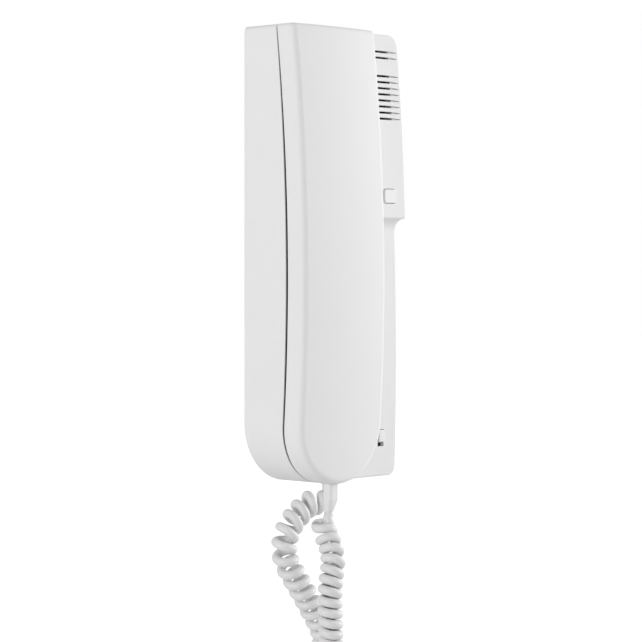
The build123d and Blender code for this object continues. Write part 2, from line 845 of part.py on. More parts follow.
# Hook switch beside its plunger, which the ear cup pushes in
flange_back = board_front + spring_length
plunger_tip = ear_end - plunger_tip_gap
hook_switch_depth = ear_floor - pocket_floor - hook_switch_gap - board_front
with BuildPart() as hook_plunger:
    with BuildSketch(Plane.XZ.offset(flange_back)):
        with Locations((plunger_x, plunger_z)):
            Circle(plunger_flange_radius)
    extrude(amount=plunger_flange)
    with BuildSketch(Plane.XZ.offset(flange_back - plunger_tail)):
        with Locations((plunger_x, plunger_z)):
            Circle(plunger_radius)
    extrude(amount=plunger_tip - flange_back + plunger_tail)
    chamfer(hook_plunger.edges().sort_by(Axis.Y)[0], plunger_radius / 4)
save(hook_plunger, "hook_plunger")

with BuildPart() as hook_spring:
    spring_rise = spring_length - 2 * spring_wire_radius
    spring_radius = plunger_radius + thread_gap + spring_wire_radius
    with BuildLine() as spring_path:
        Helix(
            spring_rise / spring_turns,
            spring_rise,
            spring_radius,
            center=(plunger_x, -board_front - spring_wire_radius, plunger_z),
            direction=(0, -1, 0),
        )
    with BuildSketch(Plane(origin=spring_path.line @ 0, z_dir=spring_path.line % 0)):
        RegularPolygon(spring_wire_radius, spring_sides)
    sweep(path=spring_path.line, is_frenet=True)
save(hook_spring, "hook_spring")

with BuildPart() as hook_switch:
    switch_left = plunger_x + plunger_flange_radius + hook_pin_gap + hook_pin_width
    with BuildSketch(Plane.XZ.offset(board_front)):
        with Locations((switch_left + hook_switch_width / 2, plunger_z)):
            Rectangle(hook_switch_width, hook_switch_height)
    extrude(amount=hook_switch_depth)
    chamfer(hook_switch.edges().group_by(Axis.Y)[0], hook_switch_round)
    with BuildSketch(Plane.YZ.offset(switch_left)):
        with Locations((-flange_back - plunger_flange / 2, plunger_z)):
            Rectangle(plunger_flange, hook_pin_height)
    extrude(amount=-hook_pin_width)
save(hook_switch, "hook_switch")

# Door button with the switch and its plunger under it
button_flange_top = button_z + button_height / 2 + button_flange
button_flange_front = base_depth(button_flange_top) - wall_thickness - seat_gap
door_switch_front = board_front + door_switch_depth
door_plunger_front = door_switch_front + door_plunger_proud
with BuildPart() as door_button:
    with BuildSketch(Plane.XZ.offset(button_flange_front)):
        with Locations((button_x, button_z)):
            RectangleRounded(button_width - 2 * fit_gap, button_height - 2 * fit_gap, button_corner - fit_gap)
    extrude(amount=base_depth(button_z) + button_proud - button_flange_front)
    fillet(door_button.faces().sort_by(Axis.Y)[0].edges(), button_round)
    with BuildSketch(Plane.XZ.offset(button_flange_front - button_flange_depth)):
        with Locations((button_x, button_z)):
            RectangleRounded(button_width + 2 * button_flange, button_height + 2 * button_flange, button_corner)
    extrude(amount=button_flange_depth)
    with BuildSketch(Plane.XZ.offset(door_plunger_front)):
        with Locations((button_x, button_z)):
            Circle(button_stem_radius)
    extrude(amount=button_flange_front - button_flange_depth - door_plunger_front)
save(door_button, "door_button")

with BuildPart() as door_switch:
    with BuildSketch(Plane.XZ.offset(board_front)):
        with Locations((button_x, button_z)):
            Rectangle(door_switch_size, door_switch_size)
    extrude(amount=door_switch_depth)
    with BuildSketch(Plane.XZ.offset(door_switch_front)):
        with Locations((button_x, button_z)):
            Circle(door_plunger_radius + door_plunger_gap)
    extrude(amount=-door_bore_depth, mode=Mode.SUBTRACT)
save(door_switch, "door_switch")

with BuildPart() as door_switch_plunger:
    with BuildSketch(Plane.XZ.offset(door_plunger_front)):
        with Locations((button_x, button_z)):
            Circle(door_plunger_radius)
    extrude(amount=-door_plunger_proud - button_travel)
save(door_switch_plunger, "door_switch_plunger")

# Volume switch with its knob at the top of the slot
knob_z = volume_z + volume_slot_height / 2 - seat_gap - knob_height / 2
knob_travel = volume_slot_height - knob_height - 2 * seat_gap
knob_flange_height = knob_height + 2 * knob_flange
knob_flange_front = lower_depth(knob_z - knob_travel - knob_flange_height / 2) - wall_thickness - seat_gap
volume_front = board_front + volume_switch_depth
stem_back = volume_front - volume_groove_depth + seat_gap
with BuildPart() as volume_knob:
    with BuildSketch(Plane.XZ.offset(knob_flange_front)):
        with Locations((volume_x, knob_z)):
            Rectangle(volume_slot_width - 2 * seat_gap, knob_height)
    extrude(amount=lower_depth(knob_z) + knob_proud - knob_flange_front)
    fillet(volume_knob.faces().sort_by(Axis.Y)[0].edges(), knob_round)
    with BuildSketch(Plane.XZ.offset(knob_flange_front - knob_flange_depth)):
        with Locations((volume_x, knob_z)):
            Rectangle(volume_slot_width + 2 * knob_flange, knob_flange_height)
    extrude(amount=knob_flange_depth)
    with BuildSketch(Plane.XZ.offset(stem_back)):
        with Locations((volume_x, knob_z)):
            Rectangle(knob_stem, knob_stem)
    extrude(amount=knob_flange_front - knob_flange_depth - stem_back)
save(volume_knob, "volume_knob")

with BuildPart() as volume_switch:
    with BuildSketch(Plane.XZ.offset(board_front)):
        with Locations((volume_x, knob_z - knob_travel / 2)):
            Rectangle(volume_switch_width, volume_switch_height)
    extrude(amount=volume_switch_depth)
    with BuildSketch(Plane.XZ.offset(volume_front)):
        with Locations((volume_x, knob_z - knob_travel / 2)):
            Rectangle(knob_stem + 2 * fit_gap, knob_stem + knob_travel + 2 * seat_gap)
    extrude(amount=-volume_groove_depth, mode=Mode.SUBTRACT)
save(volume_switch, "volume_switch")

# Grommet in the base's bottom edge, with the cord's lead up to the board
wall_inside = bottom + wall_thickness
grommet_mouth = bottom - grommet_tail
lead_end = grommet_mouth + 2 * cord_radius
with BuildPart() as base_cord_grommet:
    with BuildSketch(Plane.XZ.offset(cord_exit_depth)):
        with BuildLine():
            bore = cord_exit_x + cord_radius + thread_gap
            barrel = cord_exit_x + grommet_radius
            Polyline(
                (bore, wall_inside + grommet_flange_height),
                (barrel + grommet_flange, wall_inside + grommet_flange_height),
                (barrel + grommet_flange, wall_inside),
                (barrel, wall_inside),
                (barrel, bottom),
                (barrel + grommet_collar, bottom),
                (barrel + grommet_collar, bottom - grommet_collar_height),
                (bore + grommet_tail_wall, grommet_mouth),
                (bore, grommet_mouth),
                close=True,
            )
        make_face()
    revolve(axis=Axis((cord_exit_x, -cord_exit_depth, 0), (0, 0, 1)))
save(base_cord_grommet, "base_cord_grommet")

with BuildPart() as base_lead:
    with BuildSketch(Plane.XY.offset(lead_end)):
        with Locations((cord_exit_x, -cord_exit_depth)):
            Circle(cord_radius)
    extrude(amount=header_z - header_height / 2 - lead_end)
save(base_lead, "base_lead")

with BuildPart() as cord_header:
    with BuildSketch(Plane.XZ.offset(board_front)):
        with Locations((cord_exit_x, header_z)):
            Rectangle(header_width, header_height)
    extrude(amount=header_depth)
    chamfer(cord_header.edges().group_by(Axis.Y)[0], header_round)
save(cord_header, "cord_header")

# Handset front: a crowned shell, open at the back, with a lip round the back panel
panel_back_space = bowed_block(
    handset_outline(handset_lip), handset_back_end + handset_panel, handset_back_mid + handset_panel
)
back_space = bowed_block(handset_outline(-overrun), handset_back_end, handset_back_mid)
with BuildPart(mode=Mode.PRIVATE) as handset_form:
    add(crowned_block(handset_outline(), 0))
    add(back_space, mode=Mode.SUBTRACT)
    front_edges = handset_form.faces().sort_by(Axis.Y)[0].edges()
    fillet(front_edges.sort_by(Axis.Z)[:-1], handset_edge_round)
    top_face = handset_form.faces().filter_by(Plane.XY).sort_by(Axis.Z)[-1]
    fillet(top_face.edges().sort_by(Axis.Y)[:-1], handset_top_round)

with BuildPart() as handset_front:
    add(handset_form.part)
    add(crowned_block(handset_outline(handset_wall), handset_wall), mode=Mode.SUBTRACT)
    add(panel_back_space, mode=Mode.SUBTRACT)
    for height in handset_screw_heights:
        post_back = handset_back(height) + handset_screw_boss + thread_gap
        with BuildPart(mode=Mode.PRIVATE) as post:
            with BuildSketch(Plane.XZ.offset(post_back)):
                with Locations((handset_middle, height)):
                    Circle(handset_post_radius)
            extrude(amount=handset_front_mid)
            add(handset_form.part, mode=Mode.INTERSECT)
        add(post.part)
        with BuildSketch(Plane.XZ.offset(post_back)):
            with Locations((handset_middle, height)):
                Circle(handset_screw_radius + thread_gap)
        extrude(amount=handset_screw_length - handset_screw_boss + handset_screw_head, mode=Mode.SUBTRACT)
    with BuildSketch(Plane.XY.offset(bottom - overrun)):
        with Locations((boot_x, -boot_depth)):
            RectangleRounded(boot_width + 2 * thread_gap, boot_thickness + 2 * thread_gap, boot_corner)
    extrude(amount=wall_thickness + 2 * overrun, mode=Mode.SUBTRACT)
save(handset_front, "handset_front")

# Handset back: a bowed panel with the ear cup, the mouthpiece and two screw bosses
with BuildPart() as handset_back_panel:
    add(
        bowed_block(
            handset_outline(handset_lip + thread_gap),
            handset_back_end + handset_panel,
            handset_back_mid + handset_panel,
        )
    )
    add(back_space, mode=Mode.SUBTRACT)
    for height, radius, end in ((ear_height, ear_radius, ear_end), (mouth_height, mouth_radius, mouth_end)):
        cup_front = handset_back(height) + handset_panel + cup_rim
        add(slanted_cylinder(height, radius, end, cup_front))
    for height, radius, end in ((ear_height, ear_radius, ear_end), (mouth_height, mouth_radius, mouth_end)):
        inside = end + cup_end_wall
        add(slanted_cylinder(height, radius - cup_wall, inside, handset_front_mid), mode=Mode.SUBTRACT)
    with BuildSketch(Plane.XZ.offset(ear_end)):
        with Locations(cup_centre(ear_height, ear_end)):
            Circle(ear_hole_radius)
            with PolarLocations(ear_hole_inner_circle_radius, ear_hole_inner_count):
                Circle(ear_hole_radius)
            with PolarLocations(ear_hole_outer_circle_radius, ear_hole_outer_count):
                Circle(ear_hole_radius)
    extrude(amount=cup_end_wall, mode=Mode.SUBTRACT)
    with BuildSketch(Plane.XZ.offset(mouth_end)):
        with Locations(cup_centre(mouth_height, mouth_end)):
            Circle(mouth_hole_radius)
            with PolarLocations(mouth_hole_circle_radius, mouth_hole_count):
                Circle(mouth_hole_radius)
    extrude(amount=cup_end_wall, mode=Mode.SUBTRACT)
    for height in handset_screw_heights:
        boss_front = handset_back(height) + handset_screw_boss
        with BuildSketch(Plane.XZ.offset(boss_front)):
            with Locations((handset_middle, height)):
                Circle(handset_screw_head_radius + fit_gap + cup_rim)
        extrude(amount=handset_panel / 2 - handset_screw_boss)
        with BuildSketch(Plane.XZ.offset(handset_back(height) + handset_screw_head)):
            with Locations((handset_middle, height)):
                Circle(handset_screw_head_radius + fit_gap)
        extrude(amount=-handset_screw_head - overrun, mode=Mode.SUBTRACT)
        with BuildSketch(Plane.XZ.offset(boss_front)):
            with Locations((handset_middle, height)):
                Circle(handset_screw_radius + thread_gap)
        extrude(amount=-handset_screw_boss, mode=Mode.SUBTRACT)
save(handset_back_panel, "handset_back")

with BuildPart() as handset_screws:
    for height in handset_screw_heights:
        seat_y = -handset_back(height) - handset_screw_head
        seat = Plane(origin=(handset_middle, seat_y, height), z_dir=(0, -1, 0))
        add(
            screw_at(
                seat, handset_screw_radius, handset_screw_length, handset_screw_head_radius, handset_screw_head
            )
        )
save(handset_screws, "handset_screws")

# Earpiece on its gasket, and the microphone in its rubber sleeve
gasket_back = ear_end + cup_end_wall
capsule_back = gasket_back + gasket_depth
capsule_place = cup_centre(ear_height, capsule_back + capsule_depth / 2)
with BuildPart() as earpiece_gasket:
    with BuildSketch(Plane.XZ.offset(gasket_back)):
        with Locations(capsule_place):
            Circle(capsule_radius)
            Circle(capsule_radius - gasket_width, mode=Mode.SUBTRACT)
    extrude(amount=gasket_depth)
save(earpiece_gasket, "earpiece_gasket")

with BuildPart() as earpiece_capsule:
    with BuildSketch(Plane.XZ.offset(capsule_back)):
        with Locations(capsule_place):
            Circle(capsule_radius)
    extrude(amount=capsule_depth)
    chamfer(earpiece_capsule.edges().sort_by(Axis.Y)[0], capsule_round)
    with BuildSketch(Plane.XZ.offset(capsule_back + capsule_depth)):
        with Locations(capsule_place):
            Circle(capsule_back_radius)
    extrude(amount=capsule_back_depth)
save(earpiece_capsule, "earpiece_capsule")

sleeve_back = mouth_end + cup_end_wall
microphone_back = sleeve_back + microphone_floor
microphone_place = cup_centre(mouth_height, microphone_back + microphone_depth / 2)
with BuildPart() as microphone_grommet:
    with BuildSketch(Plane.XZ.offset(sleeve_back)):
        with Locations(microphone_place):
            Circle(microphone_radius + microphone_sleeve)
            Circle(microphone_radius / 2, mode=Mode.SUBTRACT)
    extrude(amount=microphone_floor)
    with BuildSketch(Plane.XZ.offset(microphone_back)):
        with Locations(microphone_place):
            Circle(microphone_radius + microphone_sleeve)
            Circle(microphone_radius + thread_gap, mode=Mode.SUBTRACT)
    extrude(amount=microphone_depth)
save(microphone_grommet, "microphone_grommet")

with BuildPart() as microphone_capsule:
    with BuildSketch(Plane.XZ.offset(microphone_back)):
        with Locations(microphone_place):
            Circle(microphone_radius)
    extrude(amount=microphone_depth)
save(microphone_capsule, "microphone_capsule")

# Strain relief in the handset's bottom edge: straight, then drawn in round the cord
boot_bottom = bottom - boot_length
boot_end_x = boot_x - boot_end_shift_width
boot_end_depth = boot_depth - boot_end_shift_width
with BuildPart() as handset_boot:
    with BuildSketch(Plane.XY.offset(bottom - boot_straight)):
        with Locations((boot_x, -boot_depth)):
            RectangleRounded(boot_width, boot_thickness, boot_corner)
    extrude(amount=boot_straight + wall_thickness + seat_gap)
    with BuildSketch(Plane.XY.offset(wall_inside + seat_gap)):
        with Locations((boot_x, -boot_depth)):
            RectangleRounded(
                boot_width + 2 * boot_flange, boot_thickness + 2 * boot_flange, boot_corner + boot_flange
            )
    extrude(amount=boot_flange_height)
    with BuildSketch(Plane.XY.offset(bottom - boot_straight)):
        with Locations((boot_x, -boot_depth)):
            RectangleRounded(boot_width, boot_thickness, boot_corner)
    with BuildSketch(Plane.XY.offset(boot_bottom)):
        with Locations((boot_end_x, -boot_end_depth)):
            Circle(cord_radius + boot_end_wall)
    loft()
save(handset_boot, "handset_boot")

# Line that the curls wind round: places below the grommet, then round the loop, places below the boot
curl_descent = (
    (0, 0, 0),
    (-0.5, 0.1, -2.4),
    (-8.5, 2.8, -9.6),
    (-18.5, 3.6, -18.6),
    (-24.8, 3.8, -29.2),
    (-23.5, 3.2, -38.6),
    (-18.3, 1.8, -48.2),
    (-11.8, -1.0, -58.2),
    (-5.5, -3.4, -70.1),
    (-1.6, -4.4, -82.6),
    (-1.4, -4.8, -92.6),
    (-4.0, -7.2, -101.0),
)
curl_ascent = (
    (7.1, 4.6, -93.7),
    (1.0, -1.0, -90.2),
    (-1.6, -3.4, -81.8),
    (-4.0, -5.8, -71.8),
    (-5.0, -6.4, -55.8),
    (-3.5, -4.4, -40.8),
    (0.0, -3.0, -24.8),
    (0.1, -0.2, -12.8),
)
curl_line = [(cord_exit_x + x, y - cord_exit_depth, grommet_mouth + z) for x, y, z in curl_descent]
curl_line += [(boot_end_x + x, y - boot_end_depth, boot_bottom + z) for x, y, z in curl_ascent]
curl_line.append((boot_end_x, -boot_end_depth, boot_bottom - 2 * cord_radius))


def ease(share):
    """Smooth rise from nothing to one, level at both ends."""
    share = min(max(share, 0), 1)
    return share * share * (3 - 2 * share)


def curl_route():
    """Half turn points and tangents of the wire's centre, wound round the curl line."""
    line = Spline(*curl_line)
    step = line.length / curl_steps
    tangents = [line % (i / curl_steps) for i in range(curl_steps + 1)]
    turns = [0.0]
    for i in range(curl_steps):
        bend = radians(tangents[i].get_angle(tangents[i + 1])) / step
        opening = ease(2 * (curl_steps - i) / curl_steps - 1 / 2)
        loose = curl_spacing_closed + (curl_spacing_open - curl_spacing_closed) * opening
        loose += (curl_spacing_lead - loose) * (1 - ease(min(i, curl_steps - i) * step / curl_lead))
        least = (2 * cord_radius + curl_gap) / (1 - curl_radius * bend)
        turns.append(turns[-1] + step / max(loose, least))
    halves = round(2 * turns[-1])
    points = []
    across = Vector(1, 0, 0)
    for i, tangent in enumerate(tangents):
        across = (across - tangent * across.dot(tangent)).normalized()
        angle = 2 * pi * turns[i] * halves / (2 * turns[-1])
        radius = curl_radius * ease(min(i, curl_steps - i) * step / curl_lead)
        spoke = across * cos(angle) + tangent.cross(across) * sin(angle)
        points.append(line @ (i / curl_steps) + spoke * radius)
    picks = [
        min(range(curl_steps + 1), key=lambda i: abs(turns[i] / turns[-1] - k / halves))
        for k in range(halves + 1)
    ]
    directions = [(points[min(i + 1, curl_steps)] - points[max(i - 1, 0)]).normalized() for i in picks]
    directions[0], directions[-1] = Vector(0, 0, -1), Vector(0, 0, 1)
    print(f"curls {halves / 2}, along a line of {line.length:.1f} mm")
    return [points[i] for i in picks], directions


def biarc(start, start_way, end, end_way):
    """Two arcs that join two points with their tangents."""
    chord = end - start
    both = start_way + end_way
    turn = 2 * (1 - start_way.dot(end_way))
    reach = (sqrt(chord.dot(both) ** 2 + turn * chord.dot(chord)) - chord.dot(both)) / turn
    knee = (start + end + (start_way - end_way) * reach) / 2
    return (start, knee, start_way), (knee, end, (chord - both * reach).normalized())


# Curly cord: one tube on half turn biarcs, with straight ends in the grommet and the boot
curl_points, curl_ways = curl_route()
with BuildPart() as curly_cord:
    with BuildLine() as cord_path:
        Line((cord_exit_x, -cord_exit_depth, lead_end), curl_points[0])
        for k in range(len(curl_points) - 1):
            ends = curl_points[k], curl_ways[k], curl_points[k + 1], curl_ways[k + 1]
            for begin, finish, way in biarc(*ends):
                TangentArc(begin, finish, tangent=way)
        Line(curl_points[-1], (boot_end_x, -boot_end_depth, boot_bottom))
    cord_wire = cord_path.wire()
    with BuildSketch(Plane(origin=cord_wire @ 0, z_dir=cord_wire % 0)):
        RegularPolygon(cord_radius, cord_sides)
    sweep(path=cord_wire, clean=False)
save(curly_cord, "curly_cord")

# Tightest bend, and the least gap of the cord to itself, on points three to an arc
arcs = cord_wire.edges().filter_by(GeomType.CIRCLE)
trail = []
for arc in arcs:
    trail += [tuple(arc @ share) for share in (0, 1 / 3, 2 / 3)]
travelled = [0.0]
for before, after in zip(trail, trail[1:]):
    travelled.append(travelled[-1] + dist(before, after))
skip = 5 * cord_radius
least = min(
    dist(a, b)
    for i, a in enumerate(trail)
    for j, b in enumerate(trail[:i])
    if travelled[i] - travelled[j] > skip
)
section = cord_sides / 2 * cord_radius**2 * sin(2 * pi / cord_sides)
print(f"cord length {cord_wire.length:.1f}, tightest bend {min(arc.radius for arc in arcs):.2f}")
print(f"least gap of the cord to itself {least - 2 * cord_radius:.2f}")
print(f"cord volume over section times length {curly_cord.part.volume / section / cord_wire.length:.4f}")
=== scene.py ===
"""Looks of a wall-mounted audio intercom handset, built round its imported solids."""

from __future__ import annotations

import json
import logging
import math
from bisect import bisect_left
from dataclasses import dataclass, replace
from enum import Enum

import bpy
from mathutils import Matrix, Vector

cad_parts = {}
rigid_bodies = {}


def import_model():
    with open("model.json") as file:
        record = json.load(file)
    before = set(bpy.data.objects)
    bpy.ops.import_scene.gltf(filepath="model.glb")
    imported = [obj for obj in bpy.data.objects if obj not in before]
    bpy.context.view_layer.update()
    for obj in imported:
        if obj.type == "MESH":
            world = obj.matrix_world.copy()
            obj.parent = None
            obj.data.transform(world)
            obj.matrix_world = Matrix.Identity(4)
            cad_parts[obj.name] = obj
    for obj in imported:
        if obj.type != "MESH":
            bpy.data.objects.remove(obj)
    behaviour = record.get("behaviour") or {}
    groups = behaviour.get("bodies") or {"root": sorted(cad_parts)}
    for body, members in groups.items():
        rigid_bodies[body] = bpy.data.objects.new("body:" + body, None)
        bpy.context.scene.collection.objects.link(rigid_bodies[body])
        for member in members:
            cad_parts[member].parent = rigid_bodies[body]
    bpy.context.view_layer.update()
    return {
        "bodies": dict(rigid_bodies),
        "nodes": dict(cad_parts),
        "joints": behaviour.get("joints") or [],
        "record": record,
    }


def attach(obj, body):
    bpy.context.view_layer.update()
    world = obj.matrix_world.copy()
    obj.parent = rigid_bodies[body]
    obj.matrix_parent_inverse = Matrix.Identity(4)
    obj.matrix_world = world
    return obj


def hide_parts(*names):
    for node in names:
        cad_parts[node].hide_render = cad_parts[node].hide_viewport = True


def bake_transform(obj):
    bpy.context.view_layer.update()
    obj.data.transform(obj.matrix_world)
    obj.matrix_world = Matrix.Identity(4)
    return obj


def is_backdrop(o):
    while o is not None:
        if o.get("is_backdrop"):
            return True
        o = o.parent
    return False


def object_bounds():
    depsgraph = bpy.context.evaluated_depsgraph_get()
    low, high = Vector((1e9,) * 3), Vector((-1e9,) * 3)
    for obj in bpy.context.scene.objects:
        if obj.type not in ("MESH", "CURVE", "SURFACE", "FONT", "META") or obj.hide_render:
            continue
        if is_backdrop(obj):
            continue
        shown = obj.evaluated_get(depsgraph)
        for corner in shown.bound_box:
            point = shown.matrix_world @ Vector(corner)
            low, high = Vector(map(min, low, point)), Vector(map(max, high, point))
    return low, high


log = logging.getLogger("intercom")

MM = 0.001

Point = tuple[float, float, float]
Colour = tuple[float, float, float]
Profile = tuple[tuple[float, float], ...]
Skin = tuple[list[Point], list[tuple[int, ...]]]

# How a texture is made: rates, details and spreads of the shader's patterns.
WEAVE_RATE = 0.16
WEAVE_WANDER = 0.4
FINE_DETAIL = 3.0
PLAIN_DETAIL = 1.5
GRAIN_ROUGHNESS = 0.6
BRUSHED_STRETCH = (1.0, 1.0, 0.06)
PATCH_SCALE = 38.0
PATCH_DETAIL = 4.0
GLOSS_SPREAD = 0.06
SCATTER_REACH = (2.2 * MM, 2.0 * MM, 1.8 * MM)

RIGHT = Vector((1.0, 0.0, 0.0))
TO_WALL = Vector((0.0, 1.0, 0.0))
UP = Vector((0.0, 0.0, 1.0))


class Texture(Enum):
    """How the surface of a finish is made up."""

    GRAINED = "fine moulded grain"
    POLISHED = "polished mould"
    SOFT = "soft moulded rubber"
    BRUSHED = "drawn metal"
    WOVEN = "woven cloth"
    LACQUERED = "solder lacquer"


@dataclass(frozen=True)
class Finish:
    """One finish: its colour, gloss and the relief of its surface.

    Attributes:
        name: Name of the material.
        colour: Linear base colour.
        texture: What the surface is made up of.
        roughness: Middle roughness of the shader.
        grain: Size of the relief's grain, in metres.
        relief: Height of the relief, in metres.
        shade: Share by which the colour varies.
        metallic: Metallic value of the shader.
        scatter: Weight of light that goes under the surface.
        specular: Specular level of the shader.
    """

    name: str
    colour: Colour
    texture: Texture
    roughness: float
    grain: float
    relief: float
    shade: float
    metallic: float = 0.0
    scatter: float = 0.0
    specular: float = 0.5

    def material(self) -> bpy.types.Material:
        """Build the material of this finish, once.

        Returns:
            The material.
        """
        made = bpy.data.materials.get(self.name)
        if made:
            return made
        made = bpy.data.materials.new(self.name)
        made.use_nodes = True
        made.diffuse_color = (*self.colour, 1.0)
        nodes, links = made.node_tree.nodes, made.node_tree.links
        shader = nodes["Principled BSDF"]
        shader.inputs["Metallic"].default_value = self.metallic
        shader.inputs["Specular IOR Level"].default_value = self.specular
        shader.inputs["Subsurface Weight"].default_value = self.scatter
        shader.inputs["Subsurface Radius"].default_value = SCATTER_REACH
        place = nodes.new("ShaderNodeTexCoord")
        relief = self.relief_pattern(nodes, links, place)
        bump = nodes.new("ShaderNodeBump")
        bump.inputs["Strength"].default_value = 1.0
        bump.inputs["Distance"].default_value = self.relief
        links.new(relief, bump.inputs["Height"])
        links.new(bump.outputs["Normal"], shader.inputs["Normal"])
        links.new(self.mottle(nodes, links, place), shader.inputs["Base Color"])
        links.new(self.gloss(nodes, links, relief), shader.inputs["Roughness"])
        return made

    def relief_pattern(
        self, nodes: bpy.types.Nodes, links: bpy.types.NodeLinks, place: bpy.types.Node
    ) -> bpy.types.NodeSocket:
        """Pattern whose height is the surface's relief.

        Args:
            nodes: Nodes of the material.
            links: Links of the material.
            place: Node that gives the place on the object.

        Returns:
            The socket of the height.
        """
        stretch = nodes.new("ShaderNodeMapping")
        links.new(place.outputs["Object"], stretch.inputs["Vector"])
        if self.texture is Texture.WOVEN:
            weave = nodes.new("ShaderNodeTexWave")
            weave.inputs["Scale"].default_value = WEAVE_RATE / self.grain
            weave.inputs["Distortion"].default_value = WEAVE_WANDER
            cross = nodes.new("ShaderNodeTexWave")
            cross.bands_direction = "Z"
            cross.inputs["Scale"].default_value = WEAVE_RATE / self.grain
            both = nodes.new("ShaderNodeMath")
            both.operation = "MAXIMUM"
            for row, wave in enumerate((weave, cross)):
                links.new(stretch.outputs["Vector"], wave.inputs["Vector"])
                links.new(wave.outputs["Fac"], both.inputs[row])
            return both.outputs["Value"]
        grain = nodes.new("ShaderNodeTexNoise")
        grain.inputs["Scale"].default_value = 1.0 / self.grain
        detail = FINE_DETAIL if self.texture is Texture.GRAINED else PLAIN_DETAIL
        grain.inputs["Detail"].default_value = detail
        grain.inputs["Roughness"].default_value = GRAIN_ROUGHNESS
        if self.texture is Texture.BRUSHED:
            stretch.inputs["Scale"].default_value = BRUSHED_STRETCH
        links.new(stretch.outputs["Vector"], grain.inputs["Vector"])
        return grain.outputs["Fac"]

    def mottle(
        self, nodes: bpy.types.Nodes, links: bpy.types.NodeLinks, place: bpy.types.Node
    ) -> bpy.types.NodeSocket:
        """Colour that varies a little, in wide soft patches.

        Args:
            nodes: Nodes of the material.
            links: Links of the material.
            place: Node that gives the place on the object.

        Returns:
            The socket of the colour.
        """
        patches = nodes.new("ShaderNodeTexNoise")
        patches.inputs["Scale"].default_value = PATCH_SCALE
        patches.inputs["Detail"].default_value = PATCH_DETAIL
        links.new(place.outputs["Object"], patches.inputs["Vector"])
        blend = nodes.new("ShaderNodeMix")
        blend.data_type = "RGBA"
        low, high = (
            tuple(min(c * (1.0 + side * self.shade), 1.0) for c in self.colour) + (1.0,)
            for side in (-1.0, 1.0)
        )
        blend.inputs["A"].default_value = low
        blend.inputs["B"].default_value = high
        links.new(patches.outputs["Fac"], blend.inputs["Factor"])
        return blend.outputs["Result"]

    def gloss(
        self, nodes: bpy.types.Nodes, links: bpy.types.NodeLinks, relief: bpy.types.NodeSocket
    ) -> bpy.types.NodeSocket:
        """Roughness that follows the relief.

        Args:
            nodes: Nodes of the material.
            links: Links of the material.
            relief: Socket of the relief's height.

        Returns:
            The socket of the roughness.
        """
        spread = nodes.new("ShaderNodeMapRange")
        spread.inputs["To Min"].default_value = self.roughness - GLOSS_SPREAD
        spread.inputs["To Max"].default_value = min(self.roughness + GLOSS_SPREAD, 1.0)
        links.new(relief, spread.inputs["Value"])
        return spread.outputs["Result"]


def grey(level: float) -> Colour:
    """Neutral colour of one level."""
    return (level, level, level)


CASE_WHITE = Finish(
    "case_white",
    grey(0.83),
    Texture.GRAINED,
    roughness=0.62,
    grain=0.6 * MM,
    relief=0.03 * MM,
    shade=0.012,
    specular=0.3,
)
HANDSET_WHITE = replace(CASE_WHITE, name="handset_white")
KEY_WHITE = Finish(
    "key_white",
    grey(0.84),
    Texture.POLISHED,
    roughness=0.5,
    grain=2.0 * MM,
    relief=0.01 * MM,
    shade=0.01,
    specular=0.35,
)
INNER_WHITE = Finish(
    "inner_white",
    (0.70, 0.70, 0.68),
    Texture.POLISHED,
    roughness=0.4,
    grain=1.0 * MM,
    relief=0.01 * MM,
    shade=0.02,
)
CORD_WHITE = Finish(
    "cord_white",
    grey(0.76),
    Texture.SOFT,
    roughness=0.45,
    grain=0.9 * MM,
    relief=0.06 * MM,
    shade=0.06,
    scatter=0.1,
)
BOOT_WHITE = Finish(
    "boot_white",
    grey(0.78),
    Texture.SOFT,
    roughness=0.5,
    grain=0.8 * MM,
    relief=0.03 * MM,
    shade=0.02,
    scatter=0.15,
)
RELAY_BLACK = Finish(
    "relay_black",
    (0.02, 0.02, 0.022),
    Texture.GRAINED,
    roughness=0.5,
    grain=0.3 * MM,
    relief=0.02 * MM,
    shade=0.1,
)
TERMINAL_GREEN = Finish(
    "terminal_green",
    (0.05, 0.25, 0.12),
    Texture.POLISHED,
    roughness=0.4,
    grain=1.0 * MM,
    relief=0.01 * MM,
    shade=0.05,
)
BOARD_GREEN = Finish(
    "board_green",
    (0.03, 0.16, 0.06),
    Texture.LACQUERED,
    roughness=0.3,
    grain=0.7 * MM,
    relief=0.02 * MM,
    shade=0.15,
)
STEEL = Finish(
    "plain_steel",
    (0.56, 0.56, 0.58),
    Texture.BRUSHED,
    roughness=0.3,
    grain=0.3 * MM,
    relief=0.01 * MM,
    shade=0.04,
    metallic=1.0,
)
CAN_METAL = Finish(
    "can_metal",
    (0.68, 0.68, 0.70),
    Texture.BRUSHED,
    roughness=0.28,
    grain=0.3 * MM,
    relief=0.01 * MM,
    shade=0.03,
    metallic=1.0,
)
MAGNET_GREY = Finish(
    "magnet_grey",
    (0.12, 0.12, 0.125),
    Texture.GRAINED,
    roughness=0.6,
    grain=0.4 * MM,
    relief=0.02 * MM,
    shade=0.1,
)
CONE_PAPER = Finish(
    "cone_paper",
    grey(0.03),
    Texture.GRAINED,
    roughness=0.9,
    grain=0.5 * MM,
    relief=0.05 * MM,
    shade=0.2,
)
GRILLE_CLOTH = Finish(
    "grille_cloth",
    grey(0.02),
    Texture.WOVEN,
    roughness=0.9,
    grain=0.4 * MM,
    relief=0.08 * MM,
    shade=0.2,
)
# Near-black strip laid under the handset's edge: painted shade that makes the gap between base and
# handset look dark.
GAP_SHADE_BLACK = Finish(
    "painted_gap_shade",
    grey(0.02),
    Texture.WOVEN,
    roughness=0.95,
    grain=0.3 * MM,
    relief=0.06 * MM,
    shade=0.2,
)
GASKET_FOAM = Finish(
    "gasket_foam",
    grey(0.04),
    Texture.SOFT,
    roughness=0.95,
    grain=0.3 * MM,
    relief=0.06 * MM,
    shade=0.2,
)
